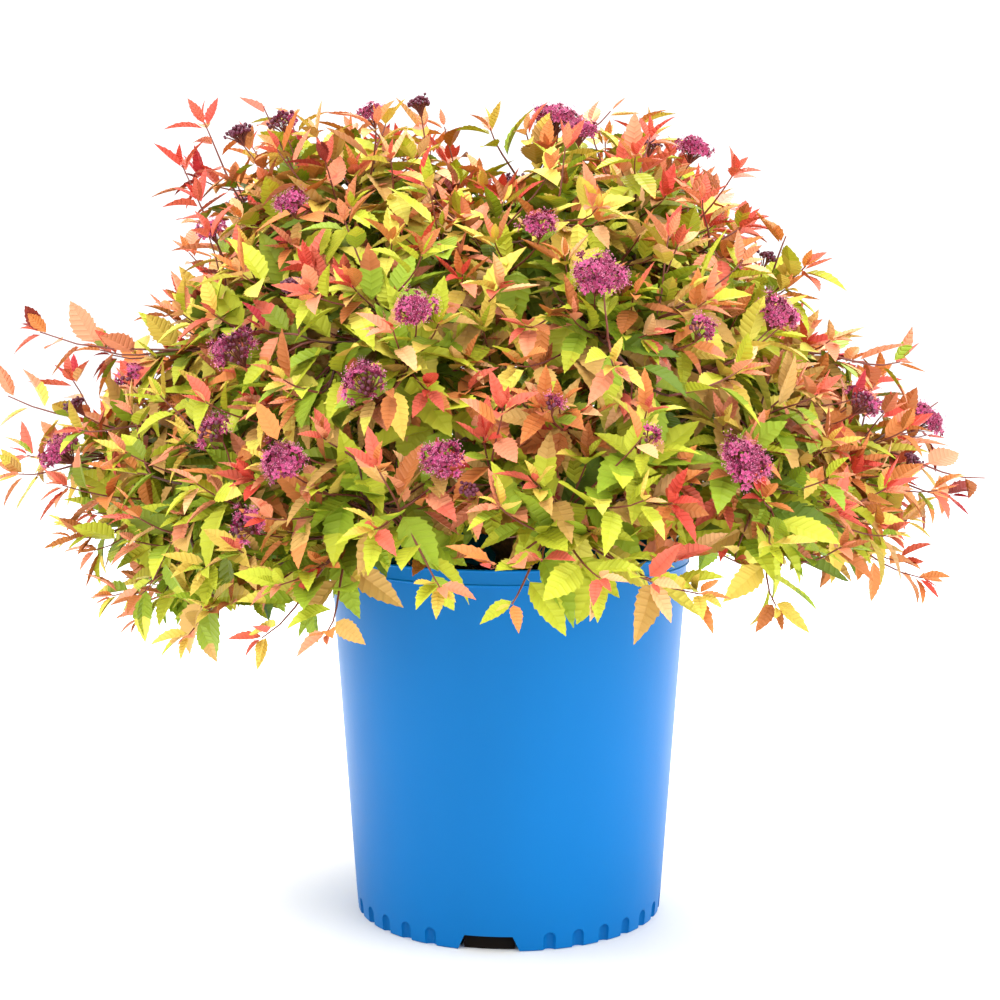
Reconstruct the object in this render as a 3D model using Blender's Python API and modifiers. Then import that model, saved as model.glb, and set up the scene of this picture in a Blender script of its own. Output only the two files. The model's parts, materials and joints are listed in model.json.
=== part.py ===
"""A spirea shrub in its blue nursery pot, in metres with +Z up.

The pot stands on z = 0 with its axis on the origin, and the front of the shrub faces -Y. A short stem
stands in the potting mix and ends in a rounded fork. Boughs fan out of the fork in rings, and each
carries one mass of foliage: a leafy stem whose twigs fill a cone of the crown and end at its outline.
"""

import math
import random

import bmesh
import bpy
from mathutils import Matrix, Vector
from mathutils.bvhtree import BVHTree

OBJECT_NAME = "spirea_in_pot"

# Clear gap between pieces that touch, and the least room a leaf keeps to what it must not meet
SEAT_GAP = 0.0003
CLEARANCE = 0.0012

# Pot: a round two-gallon nursery pot, 230 mm across its rim
POT_HEIGHT = 0.236
RIM_RADIUS = 0.115
RIM_BAND = 0.0104
RIM_BEAD = 0.0018
RIM_BEAD_DEPTH = 0.0005
RIM_LOW = POT_HEIGHT - RIM_BAND
WALL_TOP_RADIUS = 0.1134
FOOT_RADIUS = 0.0978
WALL = 0.0018
FOOT_WALL = 0.0034
FOOT_WALL_HEIGHT = 0.014
WALL_THIN_HEIGHT = 0.042
FLOOR_TOP = 0.0065
FLOOR_EDGE_ROUND = 0.003
FOOT_ROUND = 0.0015
FOOT_RING = 0.011
RECESS_HEIGHT = 0.004
RECESS_SLOPE = 0.002
CENTRE_PAD_RADIUS = 0.040
POT_STEPS = 40
MIX_STEPS = 20

# Foot of the pot: drain notches, and rows of upright flutes between them
NOTCHES = 3
FRONT_NOTCH_AZIMUTH = -97.5
NOTCH_HEIGHT = 0.0077
NOTCH_HALF_ANGLE_LOW = 11.0
NOTCH_HALF_ANGLE_HIGH = 8.6
NOTCH_REACH_IN = 0.016
FLUTES_PER_ROW = 8
FLUTE_PITCH = 10.9
FLUTE_RADIUS = 0.0035
FLUTE_DEPTH = 0.0013
FLUTE_HEIGHT = 0.011
FLUTE_STEPS = 6
FLUTE_DOME_STEPS = 2
CUT_OVERSHOOT = 0.004

# Potting mix, and the short stem that stands in it
MIX_TOP = 0.206
MIX_EDGE_DROP = 0.003
MIX_CREST_SHARE = 0.45
FORK = Vector((0.0, 0.0, 0.238))
FORK_RADIUS = 0.013
WAIST_RADIUS = 0.0085
FLARE = 0.0075
FLARE_HEIGHT = 0.006
FLARE_FALL = 1.6
FLARE_STEPS = 3
FORK_ARC_LOW = -48.0
FORK_ARC_STEPS = 5
STEM_STEPS = 12

# Crown outline: a round reach from the crown's centre, swollen where long shoots stand out of it, and
# drawn in where the outline has a bay
CROWN_CENTRE = Vector((0.0, 0.0, 0.26))
CROWN_REACH = 0.257
LOBES = (
    # name, azimuth, elevation, added reach, angular width
    ("left shoulder", 180.0, 52.0, 0.050, 15.0),
    ("left long shoots", 180.0, 11.0, 0.066, 12.0),
    ("left bay", 180.0, 31.0, -0.042, 7.0),
    ("right long shoots", 0.0, 3.0, 0.046, 13.0),
    ("right shoulder", 12.0, 63.0, 0.008, 13.0),
    ("front spread", -72.0, 4.0, 0.022, 22.0),
    ("back spread", 100.0, 6.0, 0.050, 18.0),
    ("back shoulder", 62.0, 42.0, 0.026, 16.0),
    ("back left shoots", 140.0, 24.0, 0.030, 14.0),
)
SKIRT_LOW = 0.170
SKIRT_FRONT_RISE = 0.034
SKIRT_RIGHT_RISE = 0.026
POT_ROOM = 0.006

# Rings of masses round the upright axis: elevation from the fork, count, first azimuth, and the most
# leaves in each
RINGS = (
    (90.0, 1, 0.0, 18),
    (62.0, 6, 30.0, 18),
    (36.0, 8, 22.5, 18),
    (12.0, 11, 16.4, 17),
)

# Boughs: base on the fork, gentle arch, tip where the mass begins
BOUGH_BASE_RADIUS = 0.0022
BOUGH_TIP_RADIUS = 0.0015
BOUGH_LENGTH = 0.100
BOUGH_LENGTH_LOW = 0.122
BOUGH_POINTS = 4
BOUGH_ARCH = 0.10
BOUGH_ARCH_LEAN = 80.0
FORK_LOWEST_ELEVATION = 22.0
LIMB_SIDES_RESOLUTION = 1

# Foliage rule
GOLDEN_ANGLE = math.radians(137.5)
MASS_STEM_POINTS = 4
MASS_STEM_TIP_RADIUS = 0.0009
MASS_STEM_BEND = 0.45
TWIG_LEAN = math.radians(54.0)
TWIG_ROOTS = 9
TWIG_SHORTEST = 0.014
TWIG_RADIUS = 0.0013
TWIG_TIP_RADIUS = 0.0007
TWIG_FIRST = 0.06
TWIG_LAST = 0.90
TWIG_CHECKS = 6
ROOM_STEP = 0.004
TIP_COUNT = 210
TIP_LOWEST = -0.36
TIP_DEPTHS = (0.88, 0.74, 0.82)
LEAF_LENGTH = 0.070
LEAF_SPREAD = 0.16
LEAF_WIDTH_SHARE = 0.56
LEAF_THICKNESS = 0.0016
LEAF_SINK = 0.0003
LEAF_WIDEST = 0.42
LEAF_FOLD = 0.10
LEAF_THICKEST = 0.11
LEAF_STALK = 0.12
LEAF_TIP_DROP = -0.04
LEAF_LIFT = 0.3
LEAF_WOBBLE = 0.40
LEAF_TRIALS = ((1.0, 0.0), (0.95, 35.0), (0.95, -35.0), (0.8, 0.0), (0.7, 20.0))
LEAF_LEAN = math.radians(66.0)
LEAF_PITCH = 0.018
LEAF_FIRST = 0.008
LAST_LEAF_SHARE = 1.1
LEAF_DROOP = 0.30
LEAF_EDGE_ON = 0.95
LAST_LEAF_BACK = 0.9
ROSETTE_LEAVES = 3
ROSETTE_TRIALS = 8
ROSETTE_STEP = 0.004
ROSETTE_LEAN = math.radians(58.0)
ROSETTE_LEAN_SPREAD = 0.3
BLOOM_SHARE = 0.35
BLOOM_RADIUS = 0.0165
BLOOM_FLATNESS = 0.5
BLOOM_SIT = 0.4
BLOOM_SIDES = 6
RULE_SEED = 7

BLUE = (0.036, 0.235, 0.680, 1.0)
MIX_BROWN = (0.030, 0.019, 0.012, 1.0)
BARK_BROWN = (0.115, 0.045, 0.028, 1.0)
TINTS = {
    "crown_red": (0.560, 0.085, 0.050, 1.0),
    "crown_orange": (0.620, 0.210, 0.060, 1.0),
    "crown_yellow": (0.560, 0.430, 0.050, 1.0),
    "crown_green": (0.260, 0.330, 0.025, 1.0),
}

# Warmth of a mass's tint by ring, from the top down, and the least warmth of each tint
RING_WARMTH = (0.95, 0.80, 0.45, 0.25)
SIDE_WARMTH = 0.25
WARMTH_SPREAD = 0.15
TINT_LEVELS = (("crown_red", 0.98), ("crown_orange", 0.62), ("crown_yellow", 0.40), ("crown_green", -1.0))


def clear_scene():
    for thing in list(bpy.data.objects):
        bpy.data.objects.remove(thing, do_unlink=True)


def new_collection(name, parent=None):
    made = bpy.data.collections.new(name)
    (parent or bpy.context.scene.collection).children.link(made)
    return made


def material(name, colour, roughness):
    """A Principled material; asking twice for one name gives the same material."""
    found = bpy.data.materials.get(name)
    if found:
        return found
    made = bpy.data.materials.new(name)
    made.use_nodes = True
    shader = made.node_tree.nodes["Principled BSDF"]
    shader.inputs["Base Color"].default_value = colour
    shader.inputs["Roughness"].default_value = roughness
    shader.inputs["Metallic"].default_value = 0.0
    made.diffuse_color = colour
    return made


def direction(azimuth, elevation):
    """Unit vector for an azimuth from +X towards +Y and an elevation, in degrees."""
    turn = math.radians(azimuth)
    rise = math.radians(elevation)
    return Vector((math.cos(rise) * math.cos(turn), math.cos(rise) * math.sin(turn), math.sin(rise)))


def mesh_object(name, bm, collection, surface=None):
    mesh = bpy.data.meshes.new(name)
    bm.to_mesh(mesh)
    bm.free()
    made = bpy.data.objects.new(name, mesh)
    collection.objects.link(made)
    if surface:
        mesh.materials.append(surface)
    return made


def turned(name, profile, steps, collection, surface=None):
    """A solid of revolution about Z from (radius, height) points that run down its outer side."""
    bm = bmesh.new()
    ring = [bm.verts.new((radius, 0.0, height)) for radius, height in profile]
    for upper, lower in zip(ring, ring[1:]):
        bm.edges.new((upper, lower))
    made = mesh_object(name, bm, collection, surface)
    screw = made.modifiers.new("turn", "SCREW")
    screw.steps = steps
    screw.render_steps = steps
    screw.use_merge_vertices = True
    screw.merge_threshold = 0.00005
    screw.use_smooth_shade = True
    return made


def wall_radius(height):
    """Outer radius of the tapering wall."""
    return FOOT_RADIUS + (WALL_TOP_RADIUS - FOOT_RADIUS) * height / RIM_LOW


def inner_radius(height):
    """Inner radius of the wall, which thickens towards the foot."""
    extra = FOOT_WALL - WALL
    above = max(0.0, height - FOOT_WALL_HEIGHT)
    return wall_radius(height) - WALL - extra * math.exp(-above / FOOT_WALL_HEIGHT)


def pot_profile():
    """The pot's section, from the middle of its inner floor over the rim to the middle of its underside."""
    inside = [(0.0, FLOOR_TOP), (inner_radius(FLOOR_TOP) - FLOOR_EDGE_ROUND, FLOOR_TOP)]
    for height in (FLOOR_TOP + FLOOR_EDGE_ROUND, FOOT_WALL_HEIGHT, WALL_THIN_HEIGHT):
        inside.append((inner_radius(height), height))
    lip = RIM_RADIUS - WALL - RIM_BEAD_DEPTH
    round_off = WALL / 3
    half_bead = RIM_BEAD / 2
    inside += [(WALL_TOP_RADIUS - WALL, RIM_LOW), (lip, RIM_LOW + RIM_BEAD), (lip, POT_HEIGHT - half_bead)]
    rim = [(lip + round_off, POT_HEIGHT), (RIM_RADIUS - round_off, POT_HEIGHT)]
    rim += [(RIM_RADIUS, POT_HEIGHT - half_bead), (RIM_RADIUS, POT_HEIGHT - RIM_BEAD)]
    band = RIM_RADIUS - RIM_BEAD_DEPTH
    rim += [(band, POT_HEIGHT - RIM_BEAD - half_bead), (band, RIM_LOW + RIM_BEAD + half_bead)]
    rim += [(RIM_RADIUS, RIM_LOW + RIM_BEAD), (RIM_RADIUS, RIM_LOW + half_bead)]
    wall = [(wall_radius(RIM_LOW), RIM_LOW), (wall_radius(FOOT_WALL_HEIGHT), FOOT_WALL_HEIGHT)]
    wall += [(wall_radius(FOOT_ROUND), FOOT_ROUND), (FOOT_RADIUS - FOOT_ROUND, 0.0)]
    under = [(FOOT_RADIUS - FOOT_RING, 0.0), (FOOT_RADIUS - FOOT_RING - RECESS_SLOPE, RECESS_HEIGHT)]
    under += [(CENTRE_PAD_RADIUS + RECESS_SLOPE, RECESS_HEIGHT), (CENTRE_PAD_RADIUS, 0.0), (0.0, 0.0)]
    return inside + rim + wall + under


def evaluated_mesh(thing):
    """The object's mesh with its modifiers applied, as new mesh data."""
    graph = bpy.context.evaluated_depsgraph_get()
    graph.update()
    return bpy.data.meshes.new_from_object(thing.evaluated_get(graph), depsgraph=graph)


def flute_cutter(azimuth, collection):
    """An upright round-topped rod that leans with the wall and cuts one flute out of the foot."""
    profile = [(0.0, FLUTE_HEIGHT)]
    for k in range(FLUTE_DOME_STEPS):
        turn = math.radians(90.0) * (k + 1) / FLUTE_DOME_STEPS
        drop = FLUTE_RADIUS * (1.0 - math.cos(turn))
        profile.append((FLUTE_RADIUS * math.sin(turn), FLUTE_HEIGHT - drop))
    profile += [(FLUTE_RADIUS, -CUT_OVERSHOOT), (0.0, -CUT_OVERSHOOT)]
    rod = turned(f"flute_{azimuth:.1f}", profile, FLUTE_STEPS, collection)
    slope = math.atan2(WALL_TOP_RADIUS - FOOT_RADIUS, RIM_LOW)
    offset = FOOT_RADIUS + FLUTE_RADIUS - FLUTE_DEPTH
    turn = Matrix.Rotation(math.radians(azimuth), 4, "Z")
    rod.matrix_world = turn @ Matrix.Translation((offset, 0.0, 0.0)) @ Matrix.Rotation(slope, 4, "Y")
    return rod


def notch_cutter(azimuth, collection):
    """A block, narrower at its top, that cuts one drain notch through the foot ring."""
    bm = bmesh.new()
    bmesh.ops.create_cube(bm, size=1.0)
    low = FOOT_RADIUS * math.tan(math.radians(NOTCH_HALF_ANGLE_LOW))
    high = FOOT_RADIUS * math.tan(math.radians(NOTCH_HALF_ANGLE_HIGH))
    slope = (low - high) / NOTCH_HEIGHT
    inner = FOOT_RADIUS - NOTCH_REACH_IN
    outer = FOOT_RADIUS + 2 * CUT_OVERSHOOT
    for vert in bm.verts:
        height = NOTCH_HEIGHT if vert.co.z > 0 else -CUT_OVERSHOOT
        half = low - slope * height
        vert.co = Vector((outer if vert.co.x > 0 else inner, math.copysign(half, vert.co.y), height))
    block = mesh_object(f"notch_{azimuth:.1f}", bm, collection)
    block.matrix_world = Matrix.Rotation(math.radians(azimuth), 4, "Z")
    return block


def cut_with(thing, collection):
    cut = thing.modifiers.new("cuts", "BOOLEAN")
    cut.operation = "DIFFERENCE"
    cut.operand_type = "COLLECTION"
    cut.collection = collection
    cut.solver = "EXACT"


def make_pot(parts, cutters):
    """The pot: one thin turned wall with a flat-footed underside, flutes and drain notches."""
    pot = turned("pot", pot_profile(), POT_STEPS, parts, material("pot_blue", BLUE, 0.38))
    for notch in range(NOTCHES):
        middle = FRONT_NOTCH_AZIMUTH + notch * 360.0 / NOTCHES
        notch_cutter(middle, cutters)
        first = middle + (360.0 / NOTCHES - FLUTE_PITCH * (FLUTES_PER_ROW - 1)) / 2
        for flute in range(FLUTES_PER_ROW):
            flute_cutter(first + flute * FLUTE_PITCH, cutters)
    for cutter in cutters.objects:
        cutter.hide_render = True
        cutter.display_type = "WIRE"
    cut_with(pot, cutters)
    return pot


def make_mix(parts):
    """Potting mix that fills the pot, level round the stem and a little lower at the wall."""
    edge = inner_radius(MIX_TOP) - SEAT_GAP
    profile = [(0.0, MIX_TOP), (edge * MIX_CREST_SHARE, MIX_TOP), (edge, MIX_TOP - MIX_EDGE_DROP)]
    for height in (WALL_THIN_HEIGHT, FOOT_WALL_HEIGHT, FLOOR_TOP + FLOOR_EDGE_ROUND):
        profile.append((inner_radius(height) - SEAT_GAP, height))
    base = FLOOR_TOP + SEAT_GAP
    profile += [(inner_radius(FLOOR_TOP) - FLOOR_EDGE_ROUND - SEAT_GAP, base), (0.0, base)]
    return turned("potting_mix", profile, MIX_STEPS, parts, material("mix_brown", MIX_BROWN, 0.95))


def make_stem(parts):
    """Short stem with a root flare, cut flat at the mix, ending in the rounded fork."""
    profile = [(0.0, FORK.z + FORK_RADIUS)]
    for k in range(FORK_ARC_STEPS):
        angle = math.radians(90.0 + (FORK_ARC_LOW - 90.0) * (k + 1) / FORK_ARC_STEPS)
        profile.append((FORK_RADIUS * math.cos(angle), FORK.z + FORK_RADIUS * math.sin(angle)))
    foot = MIX_TOP + SEAT_GAP
    for k in range(FLARE_STEPS + 1):
        above = 2 * FLARE_HEIGHT * (1.0 - k / FLARE_STEPS)
        profile.append((WAIST_RADIUS + FLARE * math.exp(-FLARE_FALL * above / FLARE_HEIGHT), foot + above))
    profile.append((0.0, foot))
    return turned("stem", profile, STEM_STEPS, parts, material("bark_brown", BARK_BROWN, 0.85))


def crown_reach(way):
    """Distance from the crown's centre to its outline in one direction."""
    reach = CROWN_REACH
    for _, azimuth, elevation, added, width in LOBES:
        away = math.degrees(way.angle(direction(azimuth, elevation)))
        reach += added * math.exp(-0.5 * (away / width) ** 2)
    return reach


def inside_crown(point):
    out = point - CROWN_CENTRE
    return out.length <= crown_reach(out.normalized())


def outline_distance(way):
    """Distance from the fork to the crown's outline in one direction."""
    length = CROWN_REACH / 2
    while inside_crown(FORK + way * length):
        length += ROOM_STEP
    return length - ROOM_STEP


def skirt_height(point):
    """Lowest height the foliage may hang to: it hangs less in front of the pot and on its right."""
    flat = Vector((point.x, point.y)).normalized()
    return SKIRT_LOW + SKIRT_FRONT_RISE * max(0.0, -flat.y) + SKIRT_RIGHT_RISE * max(0.0, flat.x)


def mass_plan():
    """One (ring number, elevation, azimuth, most leaves) for each mass, from the top down."""
    plan = []
    for ring, (elevation, count, first, leaves) in enumerate(RINGS):
        for k in range(count):
            plan.append((ring, elevation, first + 360.0 * k / count, leaves))
    return plan


def crown_tips():
    """Where twigs aim: places spread over the crown at the golden angle, from its top to its skirt."""
    tips = []
    for k in range(TIP_COUNT):
        rise = 1.0 - (1.0 - TIP_LOWEST) * (k + 0.5) / TIP_COUNT
        level = math.sqrt(1.0 - rise * rise)
        way = Vector((level * math.cos(k * GOLDEN_ANGLE), level * math.sin(k * GOLDEN_ANGLE), rise))
        tips.append(CROWN_CENTRE + way * crown_reach(way) * TIP_DEPTHS[k % len(TIP_DEPTHS)])
    return tips


def bough_points(elevation, azimuth):
    """Points along a bough that leaves the fork steeply and arches out to its mass."""
    lift = FORK_LOWEST_ELEVATION + elevation * (90.0 - FORK_LOWEST_ELEVATION) / 90.0
    base = FORK + direction(azimuth, lift) * (FORK_RADIUS + SEAT_GAP)
    share = 1.0 - elevation / 90.0
    length = BOUGH_LENGTH + (BOUGH_LENGTH_LOW - BOUGH_LENGTH) * share
    tip = FORK + direction(azimuth, elevation) * length
    arch = direction(azimuth, elevation + BOUGH_ARCH_LEAN) * BOUGH_ARCH * length * share
    middle = (base + tip) / 2 + arch
    points = []
    for k in range(BOUGH_POINTS):
        t = k / (BOUGH_POINTS - 1)
        points.append(base * (1 - t) ** 2 + middle * 2 * t * (1 - t) + tip * t * t)
    return points


def three_sided_section(radius, collection):
    """A closed triangle that a curve can sweep to make a three-sided stem."""
    curve = bpy.data.curves.new("section", "CURVE")
    curve.dimensions = "2D"
    spline = curve.splines.new("POLY")
    spline.points.add(2)
    spline.use_cyclic_u = True
    for k, point in enumerate(spline.points):
        turn = k * math.tau / 3
        point.co = (radius * math.cos(turn), radius * math.sin(turn), 0.0, 1.0)
    made = bpy.data.objects.new("section", curve)
    collection.objects.link(made)
    return made


def limb(name, points, first_radius, last_radius, collection, surface=None, section=None):
    """A tapering limb, as a bevelled curve with filled caps: round, or of a given section."""
    curve = bpy.data.curves.new(name, "CURVE")
    curve.dimensions = "3D"
    curve.use_fill_caps = True
    if section:
        curve.bevel_mode = "OBJECT"
        curve.bevel_object = section
    else:
        curve.bevel_depth = first_radius
        curve.bevel_resolution = LIMB_SIDES_RESOLUTION
    spline = curve.splines.new("POLY")
    spline.points.add(len(points) - 1)
    for k, point in enumerate(points):
        t = k / (len(points) - 1)
        spline.points[k].co = (*point, 1.0)
        spline.points[k].radius = 1.0 + (last_radius / first_radius - 1.0) * t
    made = bpy.data.objects.new(name, curve)
    collection.objects.link(made)
    if surface:
        curve.materials.append(surface)
    return made


def distance_to_path(point, path):
    """Least distance from a point to a run of straight pieces."""
    least = math.inf
    for start, end in zip(path, path[1:]):
        along = end - start
        t = max(0.0, min(1.0, (point - start).dot(along) / along.length_squared))
        least = min(least, (point - start - along * t).length)
    return least


class Space:
    """The room that one mass keeps to: its cone from the fork, inside the crown, clear of pot and bough."""

    def __init__(self, ways, number, path):
        own = ways[number]
        self.walls = [(own - other).normalized() for other in ways if other is not own]
        self.path = path

    def in_cone(self, point, margin):
        away = point - FORK
        return all(away.dot(wall) > margin for wall in self.walls)

    def holds(self, point, margin=CLEARANCE):
        if not self.in_cone(point, margin) or not inside_crown(point):
            return False
        if point.z < skirt_height(point):
            return False
        return point.z > POT_HEIGHT + POT_ROOM or math.hypot(point.x, point.y) > RIM_RADIUS + POT_ROOM

    def clear_of_bough(self, point):
        return distance_to_path(point, self.path) > BOUGH_BASE_RADIUS + CLEARANCE

    def room(self, start, way, longest):
        """How far a twig can grow from the start before it would leave the space."""
        length = 0.0
        while length < longest and self.holds(start + way * (length + ROOM_STEP), 2 * CLEARANCE):
            length += ROOM_STEP
        return length


def leaf_mesh():
    """One folded pointed leaf of eight faces, a unit long along +X, shaped from an octahedron."""
    bm = bmesh.new()
    bmesh.ops.create_uvsphere(bm, u_segments=4, v_segments=2, radius=1.0)
    half_width = LEAF_WIDTH_SHARE / 2
    half_thick = LEAF_THICKNESS / LEAF_LENGTH / 2
    for vert in bm.verts:
        x, y, z = vert.co
        if abs(z) > 0.5:
            vert.co = Vector((1.0, 0.0, LEAF_TIP_DROP)) if z > 0 else Vector((0.0, 0.0, 0.0))
        elif abs(y) > 0.5:
            vert.co = Vector((LEAF_WIDEST, math.copysign(half_width, y), LEAF_FOLD))
        else:
            vert.co = Vector((LEAF_THICKEST, 0.0, math.copysign(half_thick, -x)))
    mesh = bpy.data.meshes.new("leaf")
    bm.to_mesh(mesh)
    bm.free()
    return mesh


def leaf_matrix(root, way, normal, length):
    """Places the unit leaf with its root sunk back into the twig."""
    along = way.normalized()
    side = normal.cross(along).normalized()
    up = along.cross(side)
    frame = Matrix((along, side, up)).transposed().to_4x4()
    return Matrix.Translation(root - along * LEAF_SINK) @ frame @ Matrix.Scale(length, 4)


def leaf_corners(matrix):
    """A placed leaf's outline past its stalk: start, side, tip and other side."""
    half = LEAF_WIDTH_SHARE / 2
    start = Vector((LEAF_STALK, 0.0, 0.0))
    tip = Vector((1.0, 0.0, LEAF_TIP_DROP))
    sides = [Vector((LEAF_WIDEST, across, LEAF_FOLD)) for across in (half, -half)]
    return [matrix @ spot for spot in (start, sides[0], tip, sides[1])]


def blade_tree(corners):
    """Search tree of a folded blade, to find what it would cross."""
    return BVHTree.FromPolygons(corners, [(0, 1, 2), (0, 2, 3)])


def rod_tree(start, end):
    """Search tree of a twig, as two thin strips at right angles."""
    way = (end - start).normalized()
    side = way.orthogonal().normalized() * TWIG_RADIUS
    points = []
    for offset in (side, -side, way.cross(side), -way.cross(side)):
        points += [start + offset, end + offset]
    return BVHTree.FromPolygons(points, [(0, 1, 3), (0, 3, 2), (4, 5, 7), (4, 7, 6)])


def bloom_rim(centre, way):
    """Points round the rim of a flower head that faces along the direction."""
    side = way.orthogonal().normalized() * BLOOM_RADIUS
    return [centre + Matrix.Rotation(k * math.tau / BLOOM_SIDES, 3, way) @ side for k in range(BLOOM_SIDES)]


def bloom_tree(centre, rim):
    """Search tree of the disc inside a flower head's rim."""
    faces = [(0, k + 1, (k + 1) % BLOOM_SIDES + 1) for k in range(BLOOM_SIDES)]
    return BVHTree.FromPolygons([centre, *rim], faces)


class Growth:
    """What one mass grows: its stem's points, straight twigs, leaf matrices and blooms."""

    def __init__(self, space, rng, most_leaves):
        self.space = space
        self.rng = rng
        self.most_leaves = most_leaves
        self.stem = []
        self.twigs = []
        self.leaves = []
        self.blooms = []
        self.trees = []

    def crosses(self, tree):
        return any(tree.overlap(other) for other in self.trees)

    def fits(self, points):
        return all(self.space.holds(p) and self.space.clear_of_bough(p) for p in points)

    def add_leaf(self, root, way, length, droop=LEAF_DROOP):
        """Adds a leaf that faces out of the crown, unless it leaves the space or crosses something."""
        if len(self.leaves) >= self.most_leaves:
            return False
        outward = (root - CROWN_CENTRE).normalized()
        way = (way + Vector((0.0, 0.0, -droop))).normalized()
        wobble = Vector([self.rng.uniform(-LEAF_WOBBLE, LEAF_WOBBLE) for _ in range(3)])
        normal = (outward + Vector((0.0, 0.0, LEAF_LIFT)) + wobble).normalized()
        if abs(normal.dot(way)) > LEAF_EDGE_ON:
            normal = way.orthogonal().normalized()
        for share, turn in LEAF_TRIALS:
            facing = Matrix.Rotation(math.radians(turn), 3, way) @ normal
            matrix = leaf_matrix(root, way, facing, length * share)
            corners = leaf_corners(matrix)
            tree = blade_tree(corners)
            middle = (corners[0] + corners[2]) / 2
            if self.fits([*corners, middle]) and not self.crosses(tree):
                self.leaves.append(matrix)
                self.trees.append(tree)
                return True
        return False

    def leaf_length(self):
        return LEAF_LENGTH * self.rng.uniform(1.0 - LEAF_SPREAD, 1.0 + LEAF_SPREAD)

    def rosette(self, tip, way):
        """Leaves spread round a twig's tip, each rooted a little further down."""
        side = way.orthogonal().normalized()
        turn = self.rng.uniform(0.0, math.tau)
        placed = 0
        for _ in range(ROSETTE_TRIALS):
            out = Matrix.Rotation(turn, 3, way) @ side
            lean = ROSETTE_LEAN * self.rng.uniform(1.0 - ROSETTE_LEAN_SPREAD, 1.0 + ROSETTE_LEAN_SPREAD)
            root = tip - way * ROSETTE_STEP * (placed + 0.5)
            placed += self.add_leaf(root, way * math.cos(lean) + out * math.sin(lean), self.leaf_length())
            turn += GOLDEN_ANGLE
            if placed == ROSETTE_LEAVES:
                return

    def leafy_run(self, start, end, turn):
        """Alternate leaves along a straight run, from near its tip back to its foot."""
        way = (end - start).normalized()
        side = way.orthogonal().normalized()
        along = (end - start).length - LEAF_PITCH
        while along > LEAF_FIRST:
            out = Matrix.Rotation(turn, 3, way) @ side
            leaf_way = way * math.cos(LEAF_LEAN) + out * math.sin(LEAF_LEAN)
            self.add_leaf(start + way * along, leaf_way, self.leaf_length())
            turn += GOLDEN_ANGLE
            along -= LEAF_PITCH

    def add_bloom(self, tip, way):
        """A flower head on a twig's tip, now and then."""
        if self.rng.random() > BLOOM_SHARE:
            return
        head = tip + way * BLOOM_RADIUS * BLOOM_FLATNESS * BLOOM_SIT
        rim = bloom_rim(head, way)
        tree = bloom_tree(head, rim)
        if self.fits([*rim, head + way * BLOOM_RADIUS]) and not self.crosses(tree):
            self.blooms.append((head, way))
            self.trees.append(tree)

    def grow(self, base, forward, own_way, tips):
        """Grows the stem to the crown's outline, a twig to each tip in the cone, then leaves."""
        last_leaf = LEAF_LENGTH * LAST_LEAF_SHARE
        tip = FORK + own_way * (outline_distance(own_way) - last_leaf * LAST_LEAF_BACK)
        middle = base + forward * (tip - base).length * MASS_STEM_BEND
        for k in range(MASS_STEM_POINTS):
            t = k / (MASS_STEM_POINTS - 1)
            self.stem.append(base * (1 - t) ** 2 + middle * 2 * t * (1 - t) + tip * t * t)
        for start, end in zip(self.stem, self.stem[1:]):
            self.trees.append(rod_tree(start, end))
        end_way = (self.stem[-1] - self.stem[-2]).normalized()
        self.add_leaf(tip - end_way * TWIG_RADIUS, end_way, last_leaf, 0.0)
        self.rosette(tip, end_way)
        for target in tips:
            if self.space.in_cone(target, CLEARANCE):
                self.grow_twig(target)
        turn = self.rng.uniform(0.0, math.tau)
        for start, end in self.twigs:
            self.rosette(end, (end - start).normalized())
        for start, end in self.twigs:
            self.leafy_run(start, end, turn)
        for start, end in zip(self.stem[::-1][1:], self.stem[::-1]):
            self.leafy_run(start, end, turn)

    def at(self, share):
        """Point and direction on the stem at a share of its length."""
        place = share * (len(self.stem) - 1)
        k = min(int(place), len(self.stem) - 2)
        step = self.stem[k + 1] - self.stem[k]
        return self.stem[k] + step * (place - k), step.normalized()

    def grow_twig(self, target):
        """A straight twig from where the stem meets it at the best angle, as long as its space allows."""
        best = None
        for k in range(TWIG_ROOTS):
            root, forward = self.at(TWIG_FIRST + (TWIG_LAST - TWIG_FIRST) * k / (TWIG_ROOTS - 1))
            miss = abs((target - root).angle(forward) - TWIG_LEAN)
            if best is None or miss < best[0]:
                best = (miss, root)
        root = best[1]
        way = (target - root).normalized()
        length = self.space.room(root, way, (target - root).length)
        if length < TWIG_SHORTEST:
            return
        end = root + way * length
        tree = rod_tree(root + way * 2 * TWIG_RADIUS, end)
        places = [root + way * length * (k + 1) / TWIG_CHECKS for k in range(TWIG_CHECKS)]
        if self.fits(places) and not self.crosses(tree):
            self.twigs.append((root, end))
            self.trees.append(tree)
            self.add_bloom(end, way)


def twig_object(name, start, end, collection):
    """A three-sided tapering twig."""
    way = end - start
    bm = bmesh.new()
    bmesh.ops.create_cone(
        bm, cap_ends=True, segments=3, radius1=TWIG_RADIUS, radius2=TWIG_TIP_RADIUS, depth=way.length
    )
    made = mesh_object(name, bm, collection)
    turn = Vector((0.0, 0.0, 1.0)).rotation_difference(way).to_matrix().to_4x4()
    made.matrix_world = Matrix.Translation((start + end) / 2) @ turn
    return made


def bloom_object(name, centre, way, collection):
    """A flat-domed flower head."""
    bm = bmesh.new()
    bmesh.ops.create_icosphere(bm, subdivisions=1, radius=BLOOM_RADIUS)
    bmesh.ops.scale(bm, vec=(1.0, 1.0, BLOOM_FLATNESS), verts=bm.verts)
    made = mesh_object(name, bm, collection)
    turn = Vector((0.0, 0.0, 1.0)).rotation_difference(way).to_matrix().to_4x4()
    made.matrix_world = Matrix.Translation(centre) @ turn
    return made


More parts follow.
